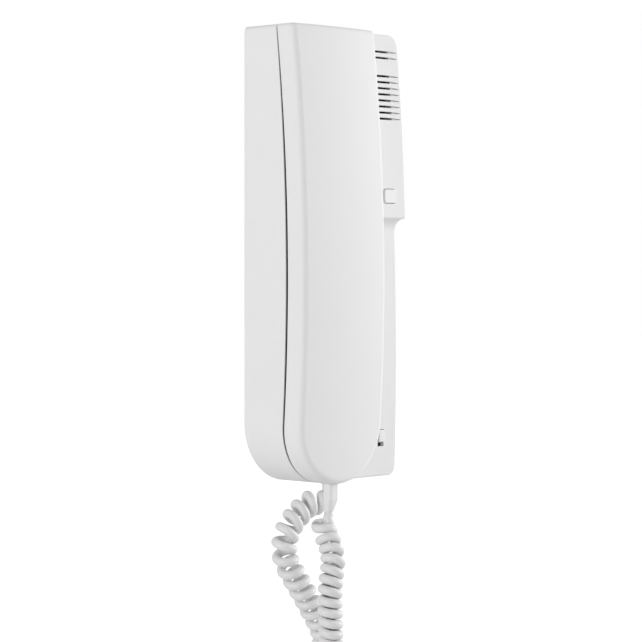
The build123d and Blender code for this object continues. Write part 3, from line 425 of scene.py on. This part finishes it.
SOLDER = Finish(
    "solder",
    (0.62, 0.62, 0.64),
    Texture.POLISHED,
    roughness=0.25,
    grain=0.5 * MM,
    relief=0.01 * MM,
    shade=0.05,
    metallic=1.0,
)
DARK_RUBBER = Finish(
    "dark_rubber",
    grey(0.03),
    Texture.SOFT,
    roughness=0.7,
    grain=0.5 * MM,
    relief=0.03 * MM,
    shade=0.1,
)


def add_piece(name: str, shape: Skin, finish: Finish) -> bpy.types.Object:
    """Add a mesh piece with its finish.

    Args:
        name: Name of the piece.
        shape: Its skin, in metres.
        finish: Its finish.

    Returns:
        The piece.
    """
    vertices, faces = shape
    mesh = bpy.data.meshes.new(name)
    mesh.from_pydata(vertices, [], faces)
    mesh.shade_smooth()
    mesh.materials.append(finish.material())
    piece = bpy.data.objects.new(name, mesh)
    bpy.context.scene.collection.objects.link(piece)
    return piece


def circle(
    middle: Vector, across: Vector, other: Vector, radius: float, sides: int
) -> list[Vector]:
    """Corners of a round section.

    Args:
        middle: Its middle.
        across: Unit direction of its first corner.
        other: Unit direction of the corner a quarter turn on.
        radius: Its radius.
        sides: Number of its corners.

    Returns:
        The corners in order.
    """
    turn = [2.0 * math.pi * k / sides for k in range(sides)]
    return [middle + (across * math.cos(a) + other * math.sin(a)) * radius for a in turn]


def skin(rings: list[list[Vector]]) -> Skin:
    """Join rings of equal count into a closed skin.

    Args:
        rings: Rings of corners in order along the piece.

    Returns:
        The corners and the faces.
    """
    sides = len(rings[0])
    corners = [tuple(corner) for ring in rings for corner in ring]
    faces = [
        (
            row * sides + k,
            row * sides + (k + 1) % sides,
            (row + 1) * sides + (k + 1) % sides,
            (row + 1) * sides + k,
        )
        for row in range(len(rings) - 1)
        for k in range(sides)
    ]
    faces.append(tuple(reversed(range(sides))))
    faces.append(tuple(range(len(corners) - sides, len(corners))))
    return corners, faces


def joined(shapes: list[Skin]) -> Skin:
    """Put several skins into one.

    Args:
        shapes: The skins.

    Returns:
        All their corners and faces.
    """
    corners: list[Point] = []
    faces: list[tuple[int, ...]] = []
    for more, sides in shapes:
        faces += [tuple(len(corners) + k for k in side) for side in sides]
        corners += more
    return corners, faces


@dataclass
class SubAssembly:
    """A sub-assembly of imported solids, each with its finish.

    Attributes:
        title: What the sub-assembly is, for the log.
        body: The body that its own pieces ride on.
    """

    title: str = ""
    body: str = "base"

    def finishes(self) -> dict[str, Finish]:
        """Finish of each of its nodes."""
        return {}

    def dress(self, nodes: dict[str, bpy.types.Object]) -> None:
        """Give each node its finish.

        Args:
            nodes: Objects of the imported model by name.
        """
        for name, finish in self.finishes().items():
            piece = nodes[name]
            material = finish.material()
            if not piece.data.materials:
                piece.data.materials.append(material)
            for slot in piece.material_slots:
                slot.material = material
            log.info("%s: %s has the finish %s", self.title, name, finish.name)

    def add_details(self) -> None:
        """Add the pieces that only the visible model has: none here."""

    def carry(self, piece: bpy.types.Object, body: str, slot: str) -> None:
        """Let a piece ride on a body.

        Args:
            piece: The piece.
            body: Name of the body.
            slot: Name of the material slot. Not used.
        """
        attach(piece, body)
        log.info("%s: %s added", self.title, piece.name)

    def build(self, nodes: dict[str, bpy.types.Object]) -> None:
        """Dress the nodes and add the details.

        Args:
            nodes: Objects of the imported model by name.
        """
        self.dress(nodes)
        self.add_details()


@dataclass
class BaseShell(SubAssembly):
    """Wall plate, cover and a near-black strip under the handset's edge, painted shade for the
    gap.

    Attributes:
        left: Left side of the cradle.
        right: Right end of the felt's upper run.
        half_height: Half of the base's height.
        corner: Radius of the cradle's round lower end.
        depth_end: Depth from the wall to the front at the ends.
        depth_mid: Depth from the wall to the front where it bows out most.
        bow_drop: How far under the middle it bows out most.
        floor_drop: Depth of the cradle's floor behind the front.
        shade_strip_inset: Distance of the painted-shade strip from the cradle's outline.
        shade_strip_width: Width of the painted-shade strip.
        shade_strip_thickness: Thickness of the painted-shade strip.
        section: Section of the strip, in shares of its width and thickness.
        sweep: Angle that the strip follows round the lower end, in radians.
        step: Length of one step along the strip.
    """

    title: str = "base"
    left: float = -42.75 * MM
    right: float = 8.0 * MM
    half_height: float = 108.6 * MM
    corner: float = 28.9 * MM
    depth_end: float = 22.1 * MM
    depth_mid: float = 27.4 * MM
    bow_drop: float = 11.0 * MM
    floor_drop: float = 2.4 * MM
    shade_strip_inset: float = 0.75 * MM
    shade_strip_width: float = 4.6 * MM
    shade_strip_thickness: float = 0.45 * MM
    section: Profile = (
        (0.0, -0.1),
        (0.0, 0.75),
        (0.06, 1.0),
        (0.94, 1.0),
        (1.0, 0.75),
        (1.0, -0.1),
    )
    sweep: float = 2.2
    step: float = 2.0 * MM

    def finishes(self) -> dict[str, Finish]:
        """Finish of each of its nodes."""
        return {
            "wall_plate": CASE_WHITE,
            "base_cover": CASE_WHITE,
            "cover_screw": STEEL,
            "base_cord_grommet": BOOT_WHITE,
            "base_lead": CORD_WHITE,
        }

    def floor(self, height: float) -> float:
        """Depth of the cradle's floor at a height.

        Args:
            height: Height above the middle.

        Returns:
            The depth from the wall.
        """
        rise = self.depth_mid - self.depth_end
        radius = (self.half_height**2 + rise**2) / (2.0 * rise)
        across = height + self.bow_drop
        return self.depth_mid - radius + math.sqrt(radius**2 - across**2) - self.floor_drop

    def edge(self, inset: float) -> list[tuple[float, float]]:
        """Line along the top, the left side and the round lower end.

        Args:
            inset: Distance from the cradle's outline.

        Returns:
            Places across and up, as many for any inset.
        """
        low, high = self.left + inset, self.half_height - inset
        centre_x, centre_z = self.left + self.corner, self.corner - self.half_height
        radius = self.corner - inset
        run = int((self.right - self.left) / self.step)
        side = int((self.half_height - centre_z) / self.step)
        turn = int(self.sweep * self.corner / self.step)
        line = [(self.right + (low - self.right) * i / run, high) for i in range(run)]
        line += [(low, high + (centre_z - high) * i / side) for i in range(side)]
        for i in range(turn + 1):
            angle = math.pi + self.sweep * i / turn
            line.append((centre_x + radius * math.cos(angle), centre_z + radius * math.sin(angle)))
        return line

    def add_details(self) -> None:
        """Lay a near-black strip on the cradle's floor: painted shade for the gap under the
        handset.
        """
        outer = self.edge(self.shade_strip_inset)
        inner = self.edge(self.shade_strip_inset + self.shade_strip_width)
        rings = []
        for (x0, z0), (x1, z1) in zip(outer, inner):
            ring = []
            for share, level in self.section:
                x, z = x0 + (x1 - x0) * share, z0 + (z1 - z0) * share
                ring.append(Vector((x, -self.floor(z) - level * self.shade_strip_thickness, z)))
            rings.append(ring)
        # near-black strip on the cradle's floor: painted shade for the gap under the handset's
        # edge
        self.carry(add_piece("painted_gap_shade", skin(rings), GAP_SHADE_BLACK), self.body, "gasket_foam")


@dataclass
class SpeechBoard(SubAssembly):
    """The circuit board with its parts and solder joints.

    Attributes:
        back: Depth from the wall to the board's back.
        joint_radius: Radius of a solder joint.
        joint_height: Height of a solder joint.
        joint_sides: Sides of a solder joint.
        joint_form: Shares of its radius and height, from the board up.
        pins: Place of each row's first pin, step to the next one, in millimetres, and count.
    """

    title: str = "board"
    back: float = 6.0 * MM
    joint_radius: float = 0.8 * MM
    joint_height: float = 0.7 * MM
    joint_sides: int = 12
    joint_form: Profile = ((1.0, -0.1), (1.0, 0.04), (0.72, 0.3), (0.48, 0.7), (0.3, 1.0))
    pins: tuple[tuple[float, float, float, float, int], ...] = (
        (25.75, -26.1, 0.0, 5.0, 5),
        (-0.2, -98.8, 1.5, 0.0, 4),
        (31.35, -92.2, 0.0, 2.5, 3),
        (29.1, 27.0, 4.0, 0.0, 2),
        (29.1, 31.0, 4.0, 0.0, 2),
        (9.25, 61.6, 0.0, 5.0, 3),
    )

    def finishes(self) -> dict[str, Finish]:
        """Finish of each of its nodes."""
        return {
            "circuit_board": BOARD_GREEN,
            "board_screws": STEEL,
            "terminal_block": TERMINAL_GREEN,
            "terminal_screws": STEEL,
            "audio_chip": RELAY_BLACK,
            "capacitors": CAN_METAL,
            "chip_resistors": RELAY_BLACK,
            "cord_header": RELAY_BLACK,
        }

    def joint(self, x: float, z: float) -> Skin:
        """Make one solder joint, wide at the board and drawn up to its pin.

        Args:
            x: Its place across.
            z: Its height.

        Returns:
            Its skin.
        """
        rings = []
        for share, level in self.joint_form:
            foot = Vector((x, self.joint_height * level - self.back, z))
            rings.append(circle(foot, RIGHT, UP, self.joint_radius * share, self.joint_sides))
        return skin(rings)

    def add_details(self) -> None:
        """Solder the pins on the board's back."""
        joints = [
            self.joint((x + i * step_x) * MM, (z + i * step_z) * MM)
            for x, z, step_x, step_z, count in self.pins
            for i in range(count)
        ]
        self.carry(add_piece("solder_joints", joined(joints), SOLDER), self.body, "steel")


@dataclass
class CallSpeaker(SubAssembly):
    """The call speaker behind the grille."""

    title: str = "call speaker"

    def finishes(self) -> dict[str, Finish]:
        """Finish of each of its nodes."""
        return {
            "call_speaker_frame": STEEL,
            "call_speaker_cone": CONE_PAPER,
            "call_speaker_magnet": MAGNET_GREY,
            "grille_mesh": GRILLE_CLOTH,
        }


@dataclass
class Controls(SubAssembly):
    """Hook switch, door key and volume slider with its grip ribs.

    Attributes:
        knob: Middle of the knob's front face.
        rib_length: Length of a rib.
        rib_radius: Radius of a rib.
        rib_spacing: Distance from rib to rib.
        rib_count: Number of ribs.
        rib_sides: Sides of a rib.
        rib_form: Places along half of its length and shares of its radius.
    """

    title: str = "controls"
    body: str = "volume_slider"
    knob: Point = (31.35 * MM, -21.2 * MM, -88.7 * MM)
    rib_length: float = 4.2 * MM
    rib_radius: float = 0.3 * MM
    rib_spacing: float = 1.5 * MM
    rib_count: int = 3
    rib_sides: int = 10
    rib_form: Profile = (
        (-1.0, 0.4),
        (-0.92, 0.8),
        (-0.84, 1.0),
        (0.84, 1.0),
        (0.92, 0.8),
        (1.0, 0.4),
    )

    def finishes(self) -> dict[str, Finish]:
        """Finish of each of its nodes."""
        return {
            "hook_switch": RELAY_BLACK,
            "hook_plunger": INNER_WHITE,
            "hook_spring": STEEL,
            "door_button": KEY_WHITE,
            "door_switch": RELAY_BLACK,
            "door_switch_plunger": INNER_WHITE,
            "volume_switch": CAN_METAL,
            "volume_knob": KEY_WHITE,
        }

    def add_details(self) -> None:
        """Add the ribs that a finger moves the slider by."""
        ribs = []
        for i in range(self.rib_count):
            height = (i - (self.rib_count - 1) / 2.0) * self.rib_spacing
            rings = []
            for share, size in self.rib_form:
                place = Vector(self.knob) + RIGHT * share * self.rib_length / 2.0 + UP * height
                rings.append(circle(place, TO_WALL, UP, self.rib_radius * size, self.rib_sides))
            ribs.append(skin(rings))
        self.carry(add_piece("knob_ribs", joined(ribs), KEY_WHITE), self.body, "key_plastic")


@dataclass
class Handset(SubAssembly):
    """The handset with its capsules, screws and boot."""

    title: str = "handset"
    body: str = "handset"

    def finishes(self) -> dict[str, Finish]:
        """Finish of each of its nodes."""
        return {
            "handset_front": HANDSET_WHITE,
            "handset_back": HANDSET_WHITE,
            "earpiece_capsule": RELAY_BLACK,
            "earpiece_gasket": GASKET_FOAM,
            "microphone_capsule": CAN_METAL,
            "microphone_grommet": DARK_RUBBER,
            "handset_screws": STEEL,
            "handset_boot": BOOT_WHITE,
        }


@dataclass
class CurlyCord:
    """The curly cord: a round wire wound round a hanging loop.

    Attributes:
        route: Control points of the line that the curls wind round, in millimetres. A separate
            script worked out most of them, from places picked on the photograph's cord and
            depths set by eye. Those round the bottom are guessed.
        wire: Radius of the wire.
        curl: Radius of the wire's centre about the line, where the curls are closed.
        open_curl: The same near the base, where they are open.
        sides: Sides of the wire's section.
        steps: Steps of one curl.
        smoothness: Points of the line from one control point to the next.
        straight: Length under the base before the curls begin.
        base_lead: Length over which the curls open at the base.
        boot_lead: Length over which the curls open under the boot.
        start_run: Length of the straight run in the base.
        end_run: Length of the straight run in the boot.
        open_pitch: Pitch near the base.
        closed_pitch: Pitch of the closed curls.
        open_until: Share of the line up to which the curls are open.
        closed_from: Share of the line from which they are closed.
        turn_gap: Least gap between two turns.
        slack_middle: Place from wall to front of the straight run under the loop.
        slack_reach: Reach of that run to each side.
        slack_lead: Length over which the curls close beside it.
        follow_start: Where the cord begins to follow the handset. Not used.
        follow_end: Where the cord follows the handset wholly. Not used.
    """

    route: tuple[Point, ...] = (
        # Out of the base and round to the left.
        (2.05, -11.6, -110.8),
        (2.05, -11.6, -113.4),
        (2.9, -10.6, -119.1),
        (-0.7, -8.0, -119.6),
        (-6.5, -7.2, -120.2),
        (-12.8, -7.0, -124.4),
        (-18.9, -6.9, -129.6),
        # Down the left side, near the wall.
        (-22.5, -6.8, -136.5),
        (-22.5, -6.8, -144.5),
        (-18.4, -7.2, -151.6),
        (-13.3, -7.5, -158.5),
        (-8.1, -7.8, -165.4),
        (-3.6, -8.2, -172.7),
        (1.0, -8.7, -179.6),
        (4.3, -9.0, -187.2),
        (0.6, -9.2, -198.0),
        # Round the bottom, below the photograph's edge.
        (0.2, -9.3, -206.5),
        (-3.0, -13.5, -212.5),
        (-13.0, -27.5, -213.5),
        (-16.6, -32.6, -207.0),
        # Up to the boot.
        (-20.5, -35.8, -184.6),
        (-22.1, -37.1, -175.7),
        (-22.7, -37.2, -167.0),
        (-22.5, -36.8, -159.2),
        (-21.0, -36.2, -151.6),
        (-18.8, -35.7, -144.8),
        (-17.4, -32.8, -138.0),
        (-17.1, -28.7, -132.1),
        (-16.8, -26.9, -127.5),
        (-15.25, -29.1, -125.4),
        (-15.25, -29.1, -123.6),
    )
    wire: float = 2.2 * MM
    curl: float = 3.85 * MM
    open_curl: float = 4.35 * MM
    sides: int = 14
    steps: int = 30
    smoothness: int = 24
    straight: float = 4.5 * MM
    base_lead: float = 8.0 * MM
    boot_lead: float = 5.0 * MM
    start_run: float = 4.0 * MM
    end_run: float = 3.0 * MM
    open_pitch: float = 6.5 * MM
    closed_pitch: float = 4.52 * MM
    open_until: float = 0.25
    closed_from: float = 0.75
    turn_gap: float = 0.08 * MM
    slack_middle: float = -17.35 * MM
    slack_reach: float = 3.55 * MM
    slack_lead: float = 4.0 * MM
    follow_start: Point = (2.05 * MM, -15.8 * MM, -110.8 * MM)
    follow_end: Point = (2.05 * MM, -21.2 * MM, -110.8 * MM)

    def line(self) -> list[Vector]:
        """Read the smooth line through the loop from its spline.

        Returns:
            Close points of the line, in metres.
        """
        curve = bpy.data.curves.new("cord_line", "CURVE")
        curve.dimensions = "3D"
        curve.resolution_u = self.smoothness
        spline = curve.splines.new("NURBS")
        spline.points.add(len(self.route) - 1)
        for point, place in zip(spline.points, self.route):
            point.co = (*(c * MM for c in place), 1.0)
        spline.order_u = 3
        spline.use_endpoint_u = True
        holder = bpy.data.objects.new("cord_line", curve)
        bpy.context.scene.collection.objects.link(holder)
        bpy.context.view_layer.update()
        graph = bpy.context.evaluated_depsgraph_get()
        mesh = bpy.data.meshes.new_from_object(holder.evaluated_get(graph), depsgraph=graph)
        points = [vertex.co.copy() for vertex in mesh.vertices]
        bpy.data.meshes.remove(mesh)
        bpy.data.objects.remove(holder)
        bpy.data.curves.remove(curve)
        return points

    def centre(self) -> list[Vector]:
        """Wind the wire's centre round the line.

        Returns:
            Points of the wire's centre from the base to the boot, in metres.
        """
        line = self.line()
        along = [0.0]
        for before, after in zip(line, line[1:]):
            along.append(along[-1] + (after - before).length)
        total = along[-1]
        turns = self.turns(line, along)
        count = len(turns) - 1
        across = RIGHT
        points = [line[0] + UP * self.start_run]
        for i, turn in enumerate(turns):
            at = total * i / count
            seek = self.before(along, at)
            share = (at - along[seek]) / max(along[seek + 1] - along[seek], 1e-9)
            place = line[seek].lerp(line[seek + 1], min(share, 1.0))
            way = self.direction(line, seek, share)
            across = (across - way * across.dot(way)).normalized()
            other = way.cross(across)
            radius = self.radius(at, total, place.y)
            angle = -2.0 * math.pi * turn
            points.append(place + (across * math.cos(angle) + other * math.sin(angle)) * radius)
        points.append(line[-1] + UP * self.end_run)
        return points

    def radius(self, at: float, total: float, depth: float) -> float:
        """Distance of the wire's centre from the line.

        Args:
            at: Length along the line.
            total: Length of the whole line.
            depth: Place from wall to front.

        Returns:
            The distance, which is nothing where the wire runs straight.
        """
        wide = self.curl + (self.open_curl - self.curl) * self.opening(at / total)
        wide *= self.ease((at - self.straight) / self.base_lead)
        wide *= self.ease((total - at) / self.boot_lead)
        past = abs(depth - self.slack_middle) - self.slack_reach
        return wide * self.ease(past / self.slack_lead)

    def turns(self, line: list[Vector], along: list[float]) -> list[float]:
        """Number of turns made at even steps along the line.

        Args:
            line: Points of the line.
            along: Length up to each point.

        Returns:
            The turns at each step.
        """
        total = along[-1]
        steps = int(total / self.closed_pitch * self.steps)
        bends = self.bends(line, along)
        turns = [0.0]
        more = self.open_pitch - self.closed_pitch
        for i in range(steps):
            bend = bends[self.before(along, total * i / steps)]
            pitch = self.closed_pitch + more * self.opening(i / steps)
            least = (2.0 * self.wire + self.turn_gap) / (1.0 - self.curl * bend)
            turns.append(turns[-1] + total / steps / max(pitch, least))
        return turns

    @staticmethod
    def before(along: list[float], at: float) -> int:
        """Index of the line's last point before a length along it."""
        return min(max(bisect_left(along, at) - 1, 0), len(along) - 2)

    @staticmethod
    def bends(line: list[Vector], along: list[float], reach: int = 8) -> list[float]:
        """Bend of the line at each of its points, as one over the radius.

        Args:
            line: Points of the line.
            along: Length up to each point.
            reach: Points to each side over which a bend is taken.

        Returns:
            The bend at each point, per metre.
        """
        last = len(line) - 1
        bends = []
        for i in range(len(line)):
            low, high = max(i - reach, 0), min(i + reach, last)
            before = (line[i] - line[low]) if i > low else (line[high] - line[i])
            after = (line[high] - line[i]) if high > i else before
            bends.append(before.angle(after) / max((along[high] - along[low]) / 2.0, 1e-6))
        return bends

    @staticmethod
    def direction(line: list[Vector], seek: int, share: float) -> Vector:
        """Direction of the line between two of its points.

        Args:
            line: Points of the line.
            seek: Index of the point before.
            share: Share of the way to the next point.

        Returns:
            The unit direction.
        """
        here = (line[seek + 1] - line[seek]).normalized()
        if seek + 2 < len(line):
            ahead = (line[seek + 2] - line[seek + 1]).normalized()
        else:
            ahead = here
        if seek > 0:
            behind = (line[seek] - line[seek - 1]).normalized()
        else:
            behind = here
        first, last = (behind + here).normalized(), (here + ahead).normalized()
        return first.lerp(last, min(max(share, 0.0), 1.0)).normalized()

    def opening(self, share: float) -> float:
        """How far the curls are open, at a share of the way from the base to the boot."""
        return self.ease((self.closed_from - share) / (self.closed_from - self.open_until))

    @staticmethod
    def ease(share: float) -> float:
        """Rise smoothly from nothing to one."""
        share = min(max(share, 0.0), 1.0)
        return share * share * (3.0 - 2.0 * share)

    def build(self) -> tuple[bpy.types.Object, list[Vector]]:
        """Build the wire's round tube.

        Returns:
            The cord's object and the points of its centre.
        """
        centre = self.centre()
        rings: list[list[Vector]] = []
        across = RIGHT
        for i, place in enumerate(centre):
            way = (centre[min(i + 1, len(centre) - 1)] - centre[max(i - 1, 0)]).normalized()
            across = (across - way * across.dot(way)).normalized()
            rings.append(circle(place, across, way.cross(across), self.wire, self.sides))
        return add_piece("curly_cord_wound", skin(rings), CORD_WHITE), centre

    def place(self) -> None:
        """Build the cord and hide the imported one."""
        cord, centre = self.build()
        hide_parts("curly_cord")
        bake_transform(cord)


@dataclass(frozen=True)
class Lamp:
    """One square lamp.

    Attributes:
        name: Its name.
        place: Where it stands, in metres.
        size: Its side, in metres.
        watts: Its power.
    """

    name: str
    place: Point
    size: float
    watts: float


@dataclass
class Studio:
    """Plain pale floor, white surround and soft lamps.

    Attributes:
        floor_height: Height of the floor below the object's origin, in metres.
        floor_size: Side of the floor, in metres.
        bounce: Grey of the floor in the light that it sends back.
        shade: Grey that the camera sees the floor in, on which shadows fall.
        glow: Light of the floor's own that the camera sees besides.
        surround: Level at which the surround lights the object.
        aim: The point that the lamps face, in metres.
        lamps: The lamps.
    """

    floor_height: float = -0.26
    floor_size: float = 12.0
    bounce: Colour = grey(0.8)
    shade: Colour = grey(0.45)
    glow: float = 0.85
    surround: float = 0.465
    aim: Point = (0.0, -0.02, 0.0)
    lamps: tuple[Lamp, ...] = (
        Lamp("key_lamp", (1.62, -0.95, 0.4), 0.9, 24.5),
        Lamp("side_lamp", (-1.5, -0.13, 0.2), 0.7, 9.1),
    )

    @staticmethod
    def seen_by_camera(
        nodes: bpy.types.Nodes, links: bpy.types.NodeLinks
    ) -> bpy.types.NodeSocket:
        """Mask of the rays that see the background, directly or in a reflection.

        Args:
            nodes: Nodes of the tree.
            links: Links of the tree.

        Returns:
            The socket of the mask.
        """
        path = nodes.new("ShaderNodeLightPath")
        first = nodes.new("ShaderNodeMath")
        first.operation = "MAXIMUM"
        links.new(path.outputs["Is Camera Ray"], first.inputs[0])
        links.new(path.outputs["Is Glossy Ray"], first.inputs[1])
        both = nodes.new("ShaderNodeMath")
        both.operation = "MAXIMUM"
        links.new(first.outputs["Value"], both.inputs[0])
        links.new(path.outputs["Is Transmission Ray"], both.inputs[1])
        return both.outputs["Value"]

    def build_floor(self) -> None:
        """Build the floor, white to the camera apart from shadows."""
        half = self.floor_size / 2.0
        mesh = bpy.data.meshes.new("studio_floor")
        corners = [(-half, -half), (half, -half), (half, half), (-half, half)]
        mesh.from_pydata([(x, y, self.floor_height) for x, y in corners], [], [(0, 1, 2, 3)])
        material = bpy.data.materials.new("studio_floor")
        material.use_nodes = True
        nodes, links = material.node_tree.nodes, material.node_tree.links
        nodes.clear()
        plain = nodes.new("ShaderNodeBsdfDiffuse")
        plain.inputs["Color"].default_value = (*self.bounce, 1.0)
        dim = nodes.new("ShaderNodeBsdfDiffuse")
        dim.inputs["Color"].default_value = (*self.shade, 1.0)
        glow = nodes.new("ShaderNodeEmission")
        glow.inputs["Strength"].default_value = self.glow
        shown = nodes.new("ShaderNodeAddShader")
        links.new(dim.outputs["BSDF"], shown.inputs[0])
        links.new(glow.outputs["Emission"], shown.inputs[1])
        choice = nodes.new("ShaderNodeMixShader")
        links.new(self.seen_by_camera(nodes, links), choice.inputs["Fac"])
        links.new(plain.outputs["BSDF"], choice.inputs[1])
        links.new(shown.outputs["Shader"], choice.inputs[2])
        out = nodes.new("ShaderNodeOutputMaterial")
        links.new(choice.outputs["Shader"], out.inputs["Surface"])
        mesh.materials.append(material)
        floor = bpy.data.objects.new("studio_floor", mesh)
        bpy.context.scene.collection.objects.link(floor)
        floor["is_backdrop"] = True

    def build_surround(self) -> None:
        """Build the world: white to the camera, a soft light to the object."""
        world = bpy.data.worlds.new("studio_surround")
        bpy.context.scene.world = world
        world.use_nodes = True
        nodes, links = world.node_tree.nodes, world.node_tree.links
        nodes.clear()
        light = nodes.new("ShaderNodeBackground")
        light.inputs["Color"].default_value = (1.0, 1.0, 1.0, 1.0)
        light.inputs["Strength"].default_value = self.surround
        white = nodes.new("ShaderNodeBackground")
        white.inputs["Color"].default_value = (1.0, 1.0, 1.0, 1.0)
        white.inputs["Strength"].default_value = 1.0
        choice = nodes.new("ShaderNodeMixShader")
        links.new(self.seen_by_camera(nodes, links), choice.inputs["Fac"])
        links.new(light.outputs["Background"], choice.inputs[1])
        links.new(white.outputs["Background"], choice.inputs[2])
        out = nodes.new("ShaderNodeOutputWorld")
        links.new(choice.outputs["Shader"], out.inputs["Surface"])

    def add_lamp(self, lamp: Lamp) -> None:
        """Set up a lamp and turn it to the object.

        Args:
            lamp: The lamp.
        """
        light = bpy.data.lights.new(lamp.name, "AREA")
        light.size = lamp.size
        light.energy = lamp.watts
        holder = bpy.data.objects.new(lamp.name, light)
        holder.location = lamp.place
        facing = Vector(self.aim) - Vector(lamp.place)
        holder.rotation_euler = facing.to_track_quat("-Z", "Y").to_euler()
        bpy.context.scene.collection.objects.link(holder)

    def build(self) -> None:
        """Build floor, surround and lamps."""
        self.build_floor()
        self.build_surround()
        for lamp in self.lamps:
            self.add_lamp(lamp)
        log.info("studio: floor, surround and %d lamps", len(self.lamps))


@dataclass
class PhotographView:
    """The camera of the photograph, fitted by a separate script to edges seen in it.

    Attributes:
        azimuth: Its direction round the object, in degrees.
        pitch: Its height above the object's middle, in radians.
        distance: Its distance from the target, in metres.
        target: The point that it faces.
        focal: Its focal length, in pixels.
        width: Width of the photograph, in pixels.
        offset: Where the target stands from the photograph's middle, in pixels.
        sensor: Width of the camera's sensor, in millimetres.
        nearest: Least distance that it sees, in metres.
        farthest: Greatest distance that it sees, in metres.
    """

    azimuth: float = -47.0
    pitch: float = -0.004246
    distance: float = 1.150
    target: Point = (-0.00075, -0.02, 0.0)
    focal: float = 2384.5
    width: float = 642.0
    offset: tuple[float, float] = (14.46, -65.8)
    sensor: float = 36.0
    nearest: float = 0.01
    farthest: float = 60.0

    def build(self) -> None:
        """Add the camera and make it the scene's own."""
        lens = bpy.data.cameras.new("photograph_view")
        lens.sensor_width = self.sensor
        lens.lens = self.focal / self.width * lens.sensor_width
        lens.shift_x = -self.offset[0] / self.width
        lens.shift_y = self.offset[1] / self.width
        lens.clip_start = self.nearest
        lens.clip_end = self.farthest
        turn = math.radians(self.azimuth)
        back = Vector(
            (
                math.sin(turn) * math.cos(self.pitch),
                -math.cos(turn) * math.cos(self.pitch),
                math.sin(self.pitch),
            )
        )
        right = Vector((math.cos(turn), math.sin(turn), 0.0))
        up = back.cross(right)
        camera = bpy.data.objects.new("photograph_view", lens)
        frame = Matrix((right, up, back)).transposed().to_4x4()
        frame.translation = Vector(self.target) + back * self.distance
        camera.matrix_world = frame
        bpy.context.scene.collection.objects.link(camera)
        bpy.context.scene.camera = camera
        log.info("camera: azimuth %.1f degrees at %.2f m", self.azimuth, self.distance)


def corners() -> list[list[float]]:
    """Lowest and highest corner of the shown object, as plain lists."""
    return [[float(c) for c in corner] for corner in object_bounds()]


def main() -> None:
    """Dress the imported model, add the cord, and build the studio."""
    logging.basicConfig(level=logging.INFO, format="%(name)s: %(message)s")
    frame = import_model()
    for assembly in (BaseShell(), SpeechBoard(), CallSpeaker(), Controls(), Handset()):
        assembly.build(frame["nodes"])
    CurlyCord().place()
    Studio().build()
    PhotographView().build()
    bpy.context.scene.view_settings.view_transform = "Standard"


if __name__ == "__main__":
    main()
